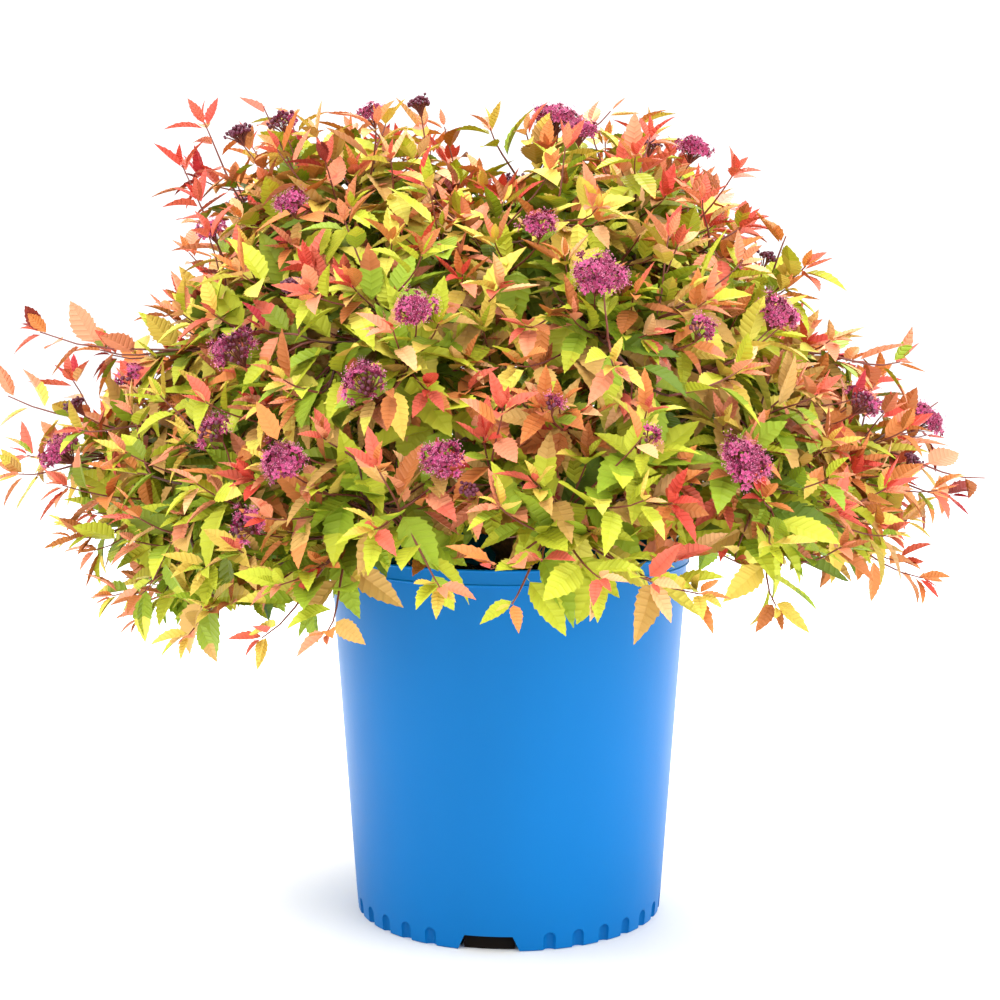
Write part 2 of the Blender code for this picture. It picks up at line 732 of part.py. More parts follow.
def shells_of(bm):
    """The bmesh's connected groups of faces."""
    left = set(bm.faces)
    shells = []
    while left:
        group = []
        waiting = [left.pop()]
        while waiting:
            face = waiting.pop()
            group.append(face)
            for near in {near for edge in face.edges for near in edge.link_faces} & left:
                left.remove(near)
                waiting.append(near)
        shells.append(group)
    return shells


def keep_outer_shell(mesh):
    """Fills sealed hollows and drops loose scraps, so that one closed body is left."""
    bm = bmesh.new()
    bm.from_mesh(mesh)
    shells = shells_of(bm)
    largest = max(shells, key=len)
    for shell in shells:
        if shell is not largest:
            bmesh.ops.delete(bm, geom=shell, context="FACES")
    bm.to_mesh(mesh)
    bm.free()


def fuse(name, stem, pieces, surface, collection):
    """Joins a mass's stem with its twigs, leaves and blooms in one Boolean union, then removes them."""
    join = stem.modifiers.new("join", "BOOLEAN")
    join.operation = "UNION"
    join.operand_type = "COLLECTION"
    join.collection = pieces
    join.solver = "MANIFOLD"
    mesh = evaluated_mesh(stem)
    mesh.name = name
    keep_outer_shell(mesh)
    mesh.materials.clear()
    mesh.materials.append(surface)
    made = bpy.data.objects.new(name, mesh)
    collection.objects.link(made)
    for piece in [stem, *pieces.objects]:
        bpy.data.objects.remove(piece, do_unlink=True)
    bpy.data.collections.remove(pieces)


def solid_stem(name, points, collection):
    """A mass's stem as a closed mesh, made from a bevelled curve with its caps welded."""
    section = three_sided_section(BOUGH_TIP_RADIUS, collection)
    tube = limb(name, points, BOUGH_TIP_RADIUS, MASS_STEM_TIP_RADIUS, collection, section=section)
    mesh = evaluated_mesh(tube)
    bpy.data.objects.remove(tube, do_unlink=True)
    bpy.data.objects.remove(section, do_unlink=True)
    bm = bmesh.new()
    bm.from_mesh(mesh)
    bmesh.ops.remove_doubles(bm, verts=bm.verts, dist=0.00001)
    bmesh.ops.recalc_face_normals(bm, faces=bm.faces)
    bpy.data.meshes.remove(mesh)
    return mesh_object(name, bm, collection)


def tint_of(ring, azimuth, rng):
    """Red and orange at the top and outer left and right, yellow and green lower and in the middle."""
    sideways = abs(math.cos(math.radians(azimuth)))
    warmth = RING_WARMTH[ring] + SIDE_WARMTH * sideways + rng.uniform(-WARMTH_SPREAD, WARMTH_SPREAD)
    return next(name for name, least in TINT_LEVELS if warmth > least)


def make_mass(number, place, ways, path, leaf, parts, workshop):
    """One mass: it grows by the rule in its own space, and its pieces are then fused."""
    ring, _, azimuth, leaves = place
    name = f"foliage_{number + 1:02d}"
    rng = random.Random(RULE_SEED * 1000 + number)
    growth = Growth(Space(ways, number, path), rng, leaves)
    forward = (path[-1] - path[-2]).normalized()
    growth.grow(path[-1] + forward * SEAT_GAP, forward, ways[number], crown_tips())
    pieces = new_collection(f"{name}_pieces", workshop)
    for k, (start, end) in enumerate(growth.twigs):
        twig_object(f"{name}_twig_{k}", start, end, pieces)
    for k, matrix in enumerate(growth.leaves):
        made = bpy.data.objects.new(f"{name}_leaf_{k}", leaf)
        made.matrix_world = matrix
        pieces.objects.link(made)
    for k, (centre, way) in enumerate(growth.blooms):
        bloom_object(f"{name}_bloom_{k}", centre, way, pieces)
    stem = solid_stem(f"{name}_stem", growth.stem, workshop)
    tint = tint_of(ring, azimuth, rng)
    fuse(name, stem, pieces, material(tint, TINTS[tint], 0.6), parts)


def make_crown(parts, workshop):
    """Boughs and masses, one of each for each place in the plan."""
    plan = mass_plan()
    ways = [direction(azimuth, elevation) for _, elevation, azimuth, _ in plan]
    leaf = leaf_mesh()
    bark = material("bark_brown", BARK_BROWN, 0.85)
    for number, place in enumerate(plan):
        _, elevation, azimuth, _ = place
        path = bough_points(elevation, azimuth)
        limb(f"bough_{number + 1:02d}", path, BOUGH_BASE_RADIUS, BOUGH_TIP_RADIUS, parts, bark)
        make_mass(number, place, ways, path, leaf, parts, workshop)
    bpy.data.meshes.remove(leaf)


def main():
    clear_scene()
    parts = new_collection(OBJECT_NAME)
    cutters = new_collection("cutters")
    workshop = new_collection("workshop")
    make_pot(parts, cutters)
    make_mix(parts)
    make_stem(parts)
    make_crown(parts, workshop)
    bpy.data.collections.remove(workshop)


main()
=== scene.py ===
"""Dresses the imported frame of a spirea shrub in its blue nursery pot.

The file is laid out as a Blender add-on and is run as a script. The shrub grows by the same rule as its
solids: boughs fan out of a short stem in rings, each carries one leafy stem whose twigs aim at tips spread
over the crown, and here the twigs branch once more into leafy shoots that end in a rosette of young
leaves or in a flower head. Lengths are in metres, +Z is up and the front of the shrub faces -Y.
"""

import collections
import functools
import itertools
import json
import math
import random

import bmesh
import bpy
from bpy.props import FloatProperty, FloatVectorProperty, IntProperty, PointerProperty
from mathutils import Matrix, Quaternion, Vector, noise

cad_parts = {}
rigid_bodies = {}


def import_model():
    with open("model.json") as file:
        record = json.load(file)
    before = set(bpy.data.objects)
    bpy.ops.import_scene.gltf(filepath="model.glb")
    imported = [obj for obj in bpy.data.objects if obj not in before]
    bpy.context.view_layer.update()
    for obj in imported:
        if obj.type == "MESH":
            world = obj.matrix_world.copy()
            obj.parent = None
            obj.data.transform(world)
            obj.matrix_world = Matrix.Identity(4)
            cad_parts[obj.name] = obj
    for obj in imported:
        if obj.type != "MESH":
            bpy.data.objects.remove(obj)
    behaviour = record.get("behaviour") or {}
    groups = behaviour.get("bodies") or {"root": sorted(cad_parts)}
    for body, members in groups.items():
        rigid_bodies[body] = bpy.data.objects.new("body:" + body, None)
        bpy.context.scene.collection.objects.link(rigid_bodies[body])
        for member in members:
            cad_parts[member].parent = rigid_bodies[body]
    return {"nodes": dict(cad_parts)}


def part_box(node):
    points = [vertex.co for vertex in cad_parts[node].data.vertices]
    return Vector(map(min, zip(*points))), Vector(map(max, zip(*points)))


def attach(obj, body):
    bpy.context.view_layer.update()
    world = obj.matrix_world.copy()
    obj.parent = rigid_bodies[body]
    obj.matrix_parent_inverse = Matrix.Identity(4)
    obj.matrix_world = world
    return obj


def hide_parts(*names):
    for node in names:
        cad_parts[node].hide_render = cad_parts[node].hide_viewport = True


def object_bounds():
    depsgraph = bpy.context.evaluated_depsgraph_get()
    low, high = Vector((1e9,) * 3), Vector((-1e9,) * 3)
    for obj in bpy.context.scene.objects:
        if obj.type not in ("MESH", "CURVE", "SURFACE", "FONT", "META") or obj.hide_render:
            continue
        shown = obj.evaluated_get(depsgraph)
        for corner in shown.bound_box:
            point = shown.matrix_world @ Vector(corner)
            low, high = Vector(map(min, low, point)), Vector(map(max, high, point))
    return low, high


bl_info = {
    "name": "Spirea in a Nursery Pot",
    "version": (1, 0, 0),
    "blender": (4, 5, 0),
    "location": "3D View > Sidebar > Spirea",
    "description": "Dresses a packed spirea shrub: pot, mix, limbs, twigs, leaves and flower heads",
    "category": "Add Mesh",
}

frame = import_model()
CAD_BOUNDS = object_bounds()
UP = Vector((0.0, 0.0, 1.0))

POT_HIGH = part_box("pot")[1]
MIX_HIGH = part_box("potting_mix")[1]
STEM_LOW, STEM_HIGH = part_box("stem")
POT_HEIGHT = POT_HIGH[2]
RIM_RADIUS = POT_HIGH[0]
MIX_TOP = MIX_HIGH[2]
MASS_NODES = sorted(name for name in frame["nodes"] if name.startswith("foliage_"))
BOUGH_NODES = sorted(name for name in frame["nodes"] if name.startswith("bough_"))

# The rule of growth, as in the part's source
GOLDEN_ANGLE = math.radians(137.5)
FORK = Vector((0.0, 0.0, 0.238))
FORK_RADIUS = 0.013
CROWN_CENTRE = Vector((0.0, 0.0, 0.26))
CROWN_REACH = 0.257
LOBES = (
    # azimuth, elevation, added reach, angular width
    (180.0, 52.0, 0.050, 15.0),
    (180.0, 11.0, 0.066, 12.0),
    (180.0, 31.0, -0.042, 7.0),
    (0.0, 3.0, 0.046, 13.0),
    (12.0, 63.0, 0.008, 13.0),
    (-72.0, 4.0, 0.022, 22.0),
    (100.0, 6.0, 0.050, 18.0),
    (62.0, 42.0, 0.026, 16.0),
    (140.0, 24.0, 0.030, 14.0),
)
DIPS = (
    # azimuth, elevation, added reach, angular width, where the dressed crown stays thinner than the solids
    (0.0, 39.0, -0.064, 12.0),
    (180.0, 28.0, -0.044, 9.0),
    (0.0, -4.0, -0.018, 12.0),
    (0.0, -17.0, -0.026, 8.0),
    (180.0, -24.0, -0.036, 10.0),
)
TOP_GROOVE = 0.051
TOP_GROOVE_X = -0.04
TOP_GROOVE_WIDTH = 0.065
CROWN_SHARE = 0.978
SKIRT_LOW = 0.189
SKIRT_FRONT_RISE = 0.068
SKIRT_RIGHT_RISE = 0.038
POT_ROOM = 0.004
RINGS = (
    # elevation, count, first azimuth
    (90.0, 1, 0.0),
    (62.0, 6, 30.0),
    (36.0, 8, 22.5),
    (12.0, 11, 16.4),
)
BOUGH_LENGTH = 0.100
BOUGH_LENGTH_LOW = 0.122
BOUGH_ARCH = 0.10
BOUGH_ARCH_LEAN = 80.0
FORK_LOWEST_ELEVATION = 22.0
STEM_BEND = 0.45
STEM_SHORT_OF_OUTLINE = 0.062
TWIG_TIPS = 210
TWIG_DEPTHS = (0.88, 0.74, 0.82)
TIP_LOWEST = -0.36
TWIG_LEAN = math.radians(54.0)
TWIG_SHORTEST = 0.014

# Radii at foot and tip, where along their hosts twigs and shoots may leave, and how twigs bend
BOUGH_RADII = (0.0026, 0.0016)
STEM_RADII = (0.0016, 0.0009)
TWIG_RADII = (0.00115, 0.00065)
TWIG_ROOTS = (0.06, 0.2, 0.34, 0.48, 0.62, 0.76, 0.9)
SHOOT_ROOTS = (0.25, 0.45, 0.65, 0.85, 1.0)
SHOOT_TAPER = 0.55
LEAN_COST = 1.4
OUTLINE_STEP = 0.004
TWIG_HANDLE = 0.36
TWIG_START_SWEEP = 0.7
TWIG_TIP_OUT = 0.5
TWIG_TIP_RISE = 0.35

# Shoots, the finer twigs that the solids leave out; depths and limits are shares of the crown's reach
SHOOT_DEPTHS = (0.91, 0.79, 0.86, 0.70, 0.98, 0.83)
SHOOT_JITTER = 0.008
SHOOT_TURN = 1.9
SHOOT_LEAN = math.radians(38.0)
SHOOT_SHORTEST = 0.016
SHOOT_LONGEST = 0.150
SHOOT_STEPS = 6
LIMB_STEPS = 10
BODY = 0.985
STRAGGLER_DEPTH = 0.95
STRAGGLER_LIMIT = 1.07
STRAGGLER_STRETCH = 1.5
LONG_SHOOT_DEPTH = 0.985
LONG_SHOOT_LONGEST = 0.3
LONG_SHOOT_THICKNESS = 1.25
LONG_SHOOT_STRETCH = 1.35
LONG_SHOOT_LIMIT = 1.3
LONG_SHOOT_DROP = 0.036

# Leaves: leans off their shoot in degrees, sizes as shares of a full leaf, gaps in metres
ROSETTE_ROOM = 0.04
ROSETTE_LEAVES = (4, 6)
ROSETTE_LEAN = 18.0
ROSETTE_OPENING = 44.0
ROSETTE_WOBBLE = 8.0
ROSETTE_SIZES = (0.85, 1.15)
ROSETTE_SMALLEST = 0.55
ROSETTE_GROWTH = 0.75
ROSETTE_STEP = 0.0012
ROSETTE_DROOP = 0.05
TURN_WOBBLE = 0.3
YOUNG_LEAVES = 4
YOUNG_LOOK = 0.8
TWO_TONED_LEAVES = 6
TWO_TONED_SHARE = 0.5
MAIN_TINT_SHARE = 0.68
GROWN_LEAN = 64.0
YOUNG_LEAN = 16.0
GROWN_WOBBLE = 10.0
GROWN_SIZES = (0.78, 1.14)
GROWN_GAPS = (0.75, 1.2)
YOUNG_SHRINK = 0.36
FIRST_GAP = 0.005
BARE_FOOT = 0.12
LEAF_DROOP = 0.34
LEAF_GAP = 0.004
LEAF_SAG = 0.6
LEAF_FACES_OUT = 0.44
LEAF_FACES_UP = 0.82
LEAF_FACES_ALONG = 0.18
LEAF_FACE_WOBBLE = 0.35
LEAF_FACE_LEAST = 0.15
LEAF_EDGE = 0.2
INNER_LEAN = 62.0
INNER_WOBBLE = 12.0
INNER_DROOP = 0.3
INNER_START = 0.97
INNER_SIZES = (0.9, 1.15)
INNER_GAPS = (0.8, 1.2)
INNER_TINTS = ("fresh", "olive", "lime", "deep", "lime", "tan")
BARE_TWIG = 0.12
BARE_STEM = 0.10
GROWN_KINDS = (0, 1, 2)
YOUNG_KINDS = (3, 4)
MOOD_SIZES = {"flush": 0.84, "turning": 0.94, "sunny": 1.04, "shady": 1.04, "inner": 1.06}

# Flower heads: shares of the crown's reach, then widths in metres and shares of a head's width
FRONT_HEAD_DEPTH = 0.955
FRONT_HEAD_SCALE = 0.00093
SPARE_HEAD_DEPTHS = (0.97, 0.93, 0.95)
SPARE_HEAD_TURN = 0.6
SPARE_HEAD_WIDTHS = (0.022, 0.040)
SPARE_HEAD_FRONT = -0.25
SPARE_HEAD_LOWEST = -0.12
BUD_HEAD_SHARE = 0.6
HEAD_FACES_OUT = 0.75
HEAD_FACES_UP = 0.60
HEAD_ROOM = 0.55
HEAD_FACE_DEPTH = 0.22
HEAD_FACE_MARGIN = 0.22
HEAD_RISE = 0.34
HEAD_RISE_LEAST = 0.008
HEAD_THICKNESS = 1.2

# How far the colour has turned: a warmth for every place, and the mood that a spray has above each warmth
MEAN_WARMTH = 0.40
WARMTH_SPREAD = 0.38
WARMTH_PATCHES = 0.16
PATCHES_PER_METRE = 16.0
MOOD_STEPS = (("flush", 0.66), ("turning", 0.40), ("sunny", 0.10))
INNER_DEPTH = 0.75
INNER_SHARE = 0.7
MIDDLE_DEPTH = 0.89
MIDDLE_COOLER = 0.22
WARMTH = (
    # azimuth, elevation, added warmth, angular width
    (200.0, 58.0, 0.26, 26.0),
    (352.0, 10.0, 0.30, 20.0),
    (60.0, 25.0, 0.20, 34.0),
    (150.0, 15.0, 0.12, 26.0),
    (280.0, 66.0, -0.10, 24.0),
    (272.0, 42.0, -0.30, 17.0),
    (272.0, 8.0, 0.28, 18.0),
    (215.0, -12.0, -0.50, 22.0),
    (270.0, -14.0, -0.14, 20.0),
    (325.0, -16.0, -0.14, 22.0),
)

# Places read off the photograph, in its pixels: flower heads with width in mm, and the ends of long shoots
PHOTO_SIZE = 1000
FRONT_HEADS = (
    (373, 116, 22, "open"), (283, 124, 24, "half"), (420, 105, 18, "bud"), (291, 205, 22, "open"),
    (211, 232, 22, "open"), (236, 352, 34, "half"), (293, 287, 18, "bud"), (414, 312, 27, "open"),
    (381, 305, 16, "bud"), (366, 384, 30, "half"), (215, 432, 24, "half"), (285, 463, 31, "open"),
    (250, 525, 25, "half"), (443, 460, 27, "open"), (540, 227, 24, "open"), (580, 133, 24, "open"),
    (598, 278, 36, "open"), (651, 145, 14, "bud"), (693, 151, 27, "open"), (776, 316, 32, "open"),
    (700, 330, 20, "half"), (768, 258, 13, "bud"), (743, 463, 34, "open"), (862, 405, 26, "half"),
    (650, 436, 12, "half"), (134, 376, 15, "half"), (76, 407, 18, "bud"), (912, 462, 16, "bud"),
    (553, 404, 12, "half"), (345, 366, 12, "bud"), (468, 490, 12, "bud"),
)
LONG_SHOOTS = (
    (8, 396), (16, 474), (40, 332), (100, 350), (985, 478), (922, 578), (900, 362), (938, 402),
    (204, 122), (182, 165), (490, 128), (552, 110), (640, 118), (735, 172), (786, 236),
    (806, 266), (112, 596), (188, 636), (262, 638), (326, 634), (776, 606), (86, 536), (700, 594),
    (600, 578), (652, 582), (512, 604), (440, 588),
)

# The leaf's own map, on which its side veins run forward from the midrib
LEAF_MAP = "OFBake"
VEINS = 9 * math.tau
VEIN_SLANT = 34.0
VEIN_RISE = 0.00028

# The pot's foot: notches and rows of flutes between them, angles in degrees
NOTCHES = 3
FRONT_NOTCH = -97.5
NOTCH_HALF_LOW = math.radians(11.0)
NOTCH_HALF_HIGH = math.radians(8.6)
NOTCH_DEPTH = 0.016
FLUTES_PER_ROW = 8
FLUTE_PITCH = 10.9
FLOOR_TOP = 0.0065
FOOT_EDGE = 0.0015
FOOT_WALL = 0.0016
FOOT_WALL_HEIGHT = 0.014
LIP_EDGE = 0.0006
FOOT_RING = 0.011
RECESS = 0.004
HUB_RADIUS = 0.040
CUT_BELOW = 0.004
# Dark panels of painted shade behind the notches: bars to each side, degrees between bars, depths in from
# the foot
SHADE_PANEL_BARS = 6
SHADE_PANEL_STEP = 1.6
SHADE_PANEL_DEPTHS = (0.0065, 0.0045)

# The studio
LIGHTS = (
    # name, place, width, power in watts
    ("key", (-0.6, -0.9, 2.7), 2.2, 82.0),
    ("fill", (1.9, -1.3, 1.2), 2.2, 26.0),
    ("back", (0.3, 1.5, 2.2), 1.8, 64.0),
    ("right strip", (1.5, 0.15, 0.45), 0.9, 6.0),
    ("left strip", (-1.5, 0.25, 0.45), 0.7, 5.0),
)
LIGHTS_AIM = (0.0, 0.0, 0.28)
FLOOR_SIZE = 24.0
FLOOR_WHITE = 0.96
AIR_LIGHT = 1.28
SENSOR_WIDTH = 36.0

# A limb's path, and its radii at foot and tip
Limb = collections.namedtuple("Limb", "points first last")
# A leaf's foot, turn and length, the number of its shape, and the tints of its foot and its tip
Leaf = collections.namedtuple("Leaf", "root turn length kind tint tip_tint")
# The leaves to come on one shoot: how widely they are spaced, and how far out and down they may reach
Spray = collections.namedtuple("Spray", "path mood has_rosette stretch limit drop")
# A flower head's middle, the way it faces, and the point its stalks rise from
Head = collections.namedtuple("Head", "centre way width kind stalk_foot")


def srgb(red, green, blue):
    """Linear colour from 0 to 255 sRGB values."""
    values = []
    for value in (red, green, blue):
        share = value / 255
        values.append(share / 12.92 if share <= 0.04045 else ((share + 0.055) / 1.055) ** 2.4)
    return tuple(values)


def length_prop(name, text, value):
    return FloatProperty(name=name, description=text, default=value, min=0.0, unit="LENGTH", precision=5)


def count_prop(name, text, value):
    return IntProperty(name=name, description=text, default=value, min=1)


def colour_prop(name, text, *picked):
    return FloatVectorProperty(
        name=name, description=text, default=srgb(*picked), size=3, min=0.0, max=1.0, subtype="COLOR"
    )


class PotSettings(bpy.types.PropertyGroup):
    """Sizes and colour of the nursery pot."""

    wall: length_prop("Wall", "Thickness of the wall", 0.0018)
    rim_band: length_prop("Rim band", "Height of the smooth band at the rim", 0.0104)
    bead: length_prop("Bead", "Height of the bead at each edge of the band", 0.0018)
    bead_depth: length_prop("Bead depth", "How far the beads stand out of the band", 0.0005)
    top_radius: length_prop("Wall top radius", "Radius of the wall under the rim", 0.1134)
    foot_radius: length_prop("Foot radius", "Radius of the wall at the foot", 0.0978)
    flute_width: length_prop("Flute width", "Width of one upright flute at the foot", 0.0080)
    flute_height: length_prop("Flute height", "Height of the flutes", 0.0115)
    flute_depth: length_prop("Flute depth", "Depth of the flutes", 0.0036)
    notch_height: length_prop("Notch height", "Height of the drain notches", 0.0096)
    steps: count_prop("Steps", "Steps round the pot", 240)
    colour: colour_prop("Pot colour", "Colour of the moulded plastic", 0, 103, 172)


class PlantSettings(bpy.types.PropertyGroup):
    """Counts and sizes of twigs, leaves and flowers."""

    seed: count_prop("Seed", "Seed of every random draw", 11)
    shoots: count_prop("Shoots", "Places over the crown that shoots aim at", 1250)
    shoot_radius: length_prop("Shoot radius", "Radius at the foot of a shoot", 0.00075)
    leaf_length: length_prop("Leaf length", "Length of a full-grown leaf", 0.041)
    young_length: length_prop("Young leaf length", "Length of a leaf in a rosette", 0.023)
    leaf_pitch: length_prop("Leaf pitch", "Distance between leaves along a shoot", 0.0068)
    spare_heads: count_prop("Other heads", "Flower heads round the sides and back", 34)
    floret: length_prop("Floret", "Width of one small flower", 0.0058)
    bud: length_prop("Bud", "Width of one flower bud", 0.0023)
    bark: colour_prop("Bark", "Colour of stem and boughs", 92, 58, 44)
    twig: colour_prop("Twigs", "Colour of the woody twigs", 84, 48, 38)
    shoot: colour_prop("Shoots", "Colour of the young shoots", 116, 56, 44)


class TintSettings(bpy.types.PropertyGroup):
    """Leaf and flower colours, dealt out by spray."""

    maroon: colour_prop("Maroon", "Shaded young leaves", 134, 50, 42)
    crimson: colour_prop("Crimson", "Youngest leaves", 182, 52, 60)
    scarlet: colour_prop("Scarlet", "Young leaves in full sun", 208, 78, 62)
    coral: colour_prop("Coral", "Young leaves", 208, 100, 78)
    salmon: colour_prop("Salmon", "Half-grown leaves", 218, 138, 102)
    pink: colour_prop("Pink", "Half-grown leaves of some sprays", 226, 152, 128)
    orange: colour_prop("Orange", "Leaves that turn", 206, 128, 68)
    rust: colour_prop("Rust", "Shaded leaves that turn", 172, 102, 52)
    apricot: colour_prop("Apricot", "Pale leaves that turn", 226, 176, 122)
    tan: colour_prop("Tan", "Dull leaves that turn", 194, 154, 84)
    gold: colour_prop("Gold", "Grown leaves near the tips", 214, 186, 82)
    yellow: colour_prop("Yellow", "Grown leaves in full sun", 212, 202, 84)
    lime: colour_prop("Lime", "Grown leaves", 180, 186, 50)
    fresh: colour_prop("Fresh green", "Older leaves", 140, 162, 40)
    olive: colour_prop("Olive", "Shaded leaves", 122, 136, 34)
    deep: colour_prop("Deep green", "Leaves inside the crown", 94, 116, 30)
    petal: colour_prop("Petals", "Open florets", 130, 15, 68)
    lilac: colour_prop("Pale petals", "Open florets that have paled", 172, 54, 110)
    stamen: colour_prop("Stamens", "Stamens and the fuzz they make", 226, 130, 170)
    bud: colour_prop("Buds", "Flower buds", 88, 20, 48)


TINT_SLOTS = {
    "crown_red": ("maroon", "crimson", "scarlet", "coral", "salmon", "pink"),
    "crown_orange": ("orange", "rust", "apricot", "tan"),
    "crown_yellow": ("gold", "yellow"),
    "crown_green": ("lime", "fresh", "olive", "deep"),
}

# What each kind of spray draws its tints from: rosette, upper leaves, lower leaves
MOODS = {
    "flush": (
        ("crimson", "scarlet", "scarlet", "coral", "coral", "maroon"),
        ("coral", "coral", "salmon", "orange", "rust", "pink"),
        ("salmon", "orange", "tan", "apricot", "gold", "olive"),
    ),
    "turning": (
        ("scarlet", "coral", "salmon", "orange"),
        ("salmon", "orange", "apricot", "tan", "orange", "rust"),
        ("gold", "tan", "orange", "lime", "fresh", "olive"),
    ),
    "sunny": (
        ("salmon", "gold", "apricot", "coral", "orange"),
        ("yellow", "gold", "lime", "lime", "tan"),
        ("lime", "yellow", "fresh", "fresh", "tan"),
    ),
    "shady": (
        ("lime", "gold", "rust", "salmon"),
        ("lime", "fresh", "gold", "lime"),
        ("fresh", "fresh", "olive", "lime"),
    ),
    "inner": (
        ("lime", "rust"),
        ("olive", "fresh", "lime", "tan"),
        ("deep", "olive", "fresh"),
    ),
}


def unit(azimuth, elevation):
    """Unit vector for an azimuth from +X towards +Y and an elevation, in degrees."""
    turn = math.radians(azimuth)
    rise = math.radians(elevation)
    return Vector((math.cos(rise) * math.cos(turn), math.cos(rise) * math.sin(turn), math.sin(rise)))


def as_ways(rows):
    """Rows of azimuth, elevation, amount and width with the two angles made one unit vector."""
    return tuple((unit(azimuth, elevation), added, width) for azimuth, elevation, added, width in rows)


WARM_WAYS = as_ways(WARMTH)
LOBE_WAYS = as_ways(LOBES + DIPS)


def crown_reach(way):
    """Distance from the crown's centre to its outline in one direction."""
    reach = CROWN_REACH
    for lobe, added, width in LOBE_WAYS:
        away = math.degrees(math.acos(max(-1.0, min(1.0, way.dot(lobe)))))
        reach += added * math.exp(-0.5 * (away / width) ** 2)
    groove = math.exp(-0.5 * ((way.x - TOP_GROOVE_X) / TOP_GROOVE_WIDTH) ** 2)
    return (reach - TOP_GROOVE * groove * max(0.0, way.z)) * CROWN_SHARE


def outward_at(point):
    return (point - CROWN_CENTRE).normalized()


def outline_share(point):
    """How far out a point is: 0 at the crown's centre, 1 on its outline."""
    out = point - CROWN_CENTRE
    return out.length / crown_reach(out.normalized())


def skirt_height(point):
    """Lowest height the foliage may hang to: it hangs less in front of the pot and on its right."""
    flat = Vector((point.x, point.y)).normalized()
    return SKIRT_LOW + SKIRT_FRONT_RISE * max(0.0, -flat.y) ** 3 + SKIRT_RIGHT_RISE * max(0.0, flat.x)


def clear_of_pot(point, room=POT_ROOM):
    return point.z > POT_HEIGHT + room or math.hypot(point.x, point.y) > RIM_RADIUS + room


def is_free(point, share=1.0, drop=0.0):
    """Whether leaves may be here: inside the outline, above the skirt and off the pot."""
    above = point.z > skirt_height(point) - drop
    return above and clear_of_pot(point) and outline_share(point) < share


def in_reach(point, room=0.006):
    """Whether the point lies within the solids' own box, or no further past it than the room."""
    low, high = CAD_BOUNDS
    return all(low[k] - room < point[k] < high[k] + room for k in range(3))


def bezier(start, start_handle, end_handle, end, steps):
    """Points along a cubic curve, both ends included."""
    points = []
    for k in range(steps + 1):
        t = k / steps
        s = 1.0 - t
        points.append(
            start * s ** 3 + start_handle * 3 * s * s * t + end_handle * 3 * s * t * t + end * t ** 3
        )
    return points


def path_length(points):
    return sum((b - a).length for a, b in zip(points, points[1:]))


def along(points, share):
    """Point and direction at a share of a path's length, its steps taken as equal."""
    place = share * (len(points) - 1)
    k = min(int(place), len(points) - 2)
    step = points[k + 1] - points[k]
    return points[k] + step * (place - k), step.normalized()


def spread_ways(count, lowest, turn=0.0):
    """Unit vectors spread over a sphere at the golden angle, from its top down to the given height."""
    ways = []
    for k in range(count):
        rise = 1.0 - (1.0 - lowest) * (k + 0.5) / count
        level = math.sqrt(1.0 - rise * rise)
        angle = k * GOLDEN_ANGLE + turn
        ways.append(Vector((level * math.cos(angle), level * math.sin(angle), rise)))
    return ways


def spread_tips(count, depths, turn=0.0):
    """Places spread over the crown from its top to its skirt, at each of the depths in turn."""
    tips = []
    for way, depth in zip(spread_ways(count, TIP_LOWEST, turn), itertools.cycle(depths)):
        tips.append(CROWN_CENTRE + way * crown_reach(way) * depth)
    return tips


class Lens:
    """The photograph's camera: where it stands and the ray through each of the photo's pixels."""

    place = Vector((-0.0057, -1.281, 0.416))
    pitch = math.radians(6.79)
    focal = 2026.0
    middle = PHOTO_SIZE / 2
    nearest = 0.85
    step = 0.002
    steps = 400

    @classmethod
    def ray(cls, x, y):
        ahead = Vector((0.0, math.cos(cls.pitch), -math.sin(cls.pitch)))
        above = Vector((0.0, math.sin(cls.pitch), math.cos(cls.pitch)))
        across = Vector((1.0, 0.0, 0.0))
        way = ahead + across * (x - cls.middle) / cls.focal + above * (cls.middle - y) / cls.focal
        return way.normalized()

    @classmethod
    def on_crown(cls, x, y, share):
        """The nearest point of the crown that the pixel looks at, a share of the way out, or its edge."""
        way = cls.ray(x, y)
        best = None
        for k in range(cls.steps):
            point = cls.place + way * (cls.nearest + k * cls.step)
            out = outline_share(point)
            if out < share:
                return point
            if best is None or out < best[0]:
                best = (out, point)
        return best[1]


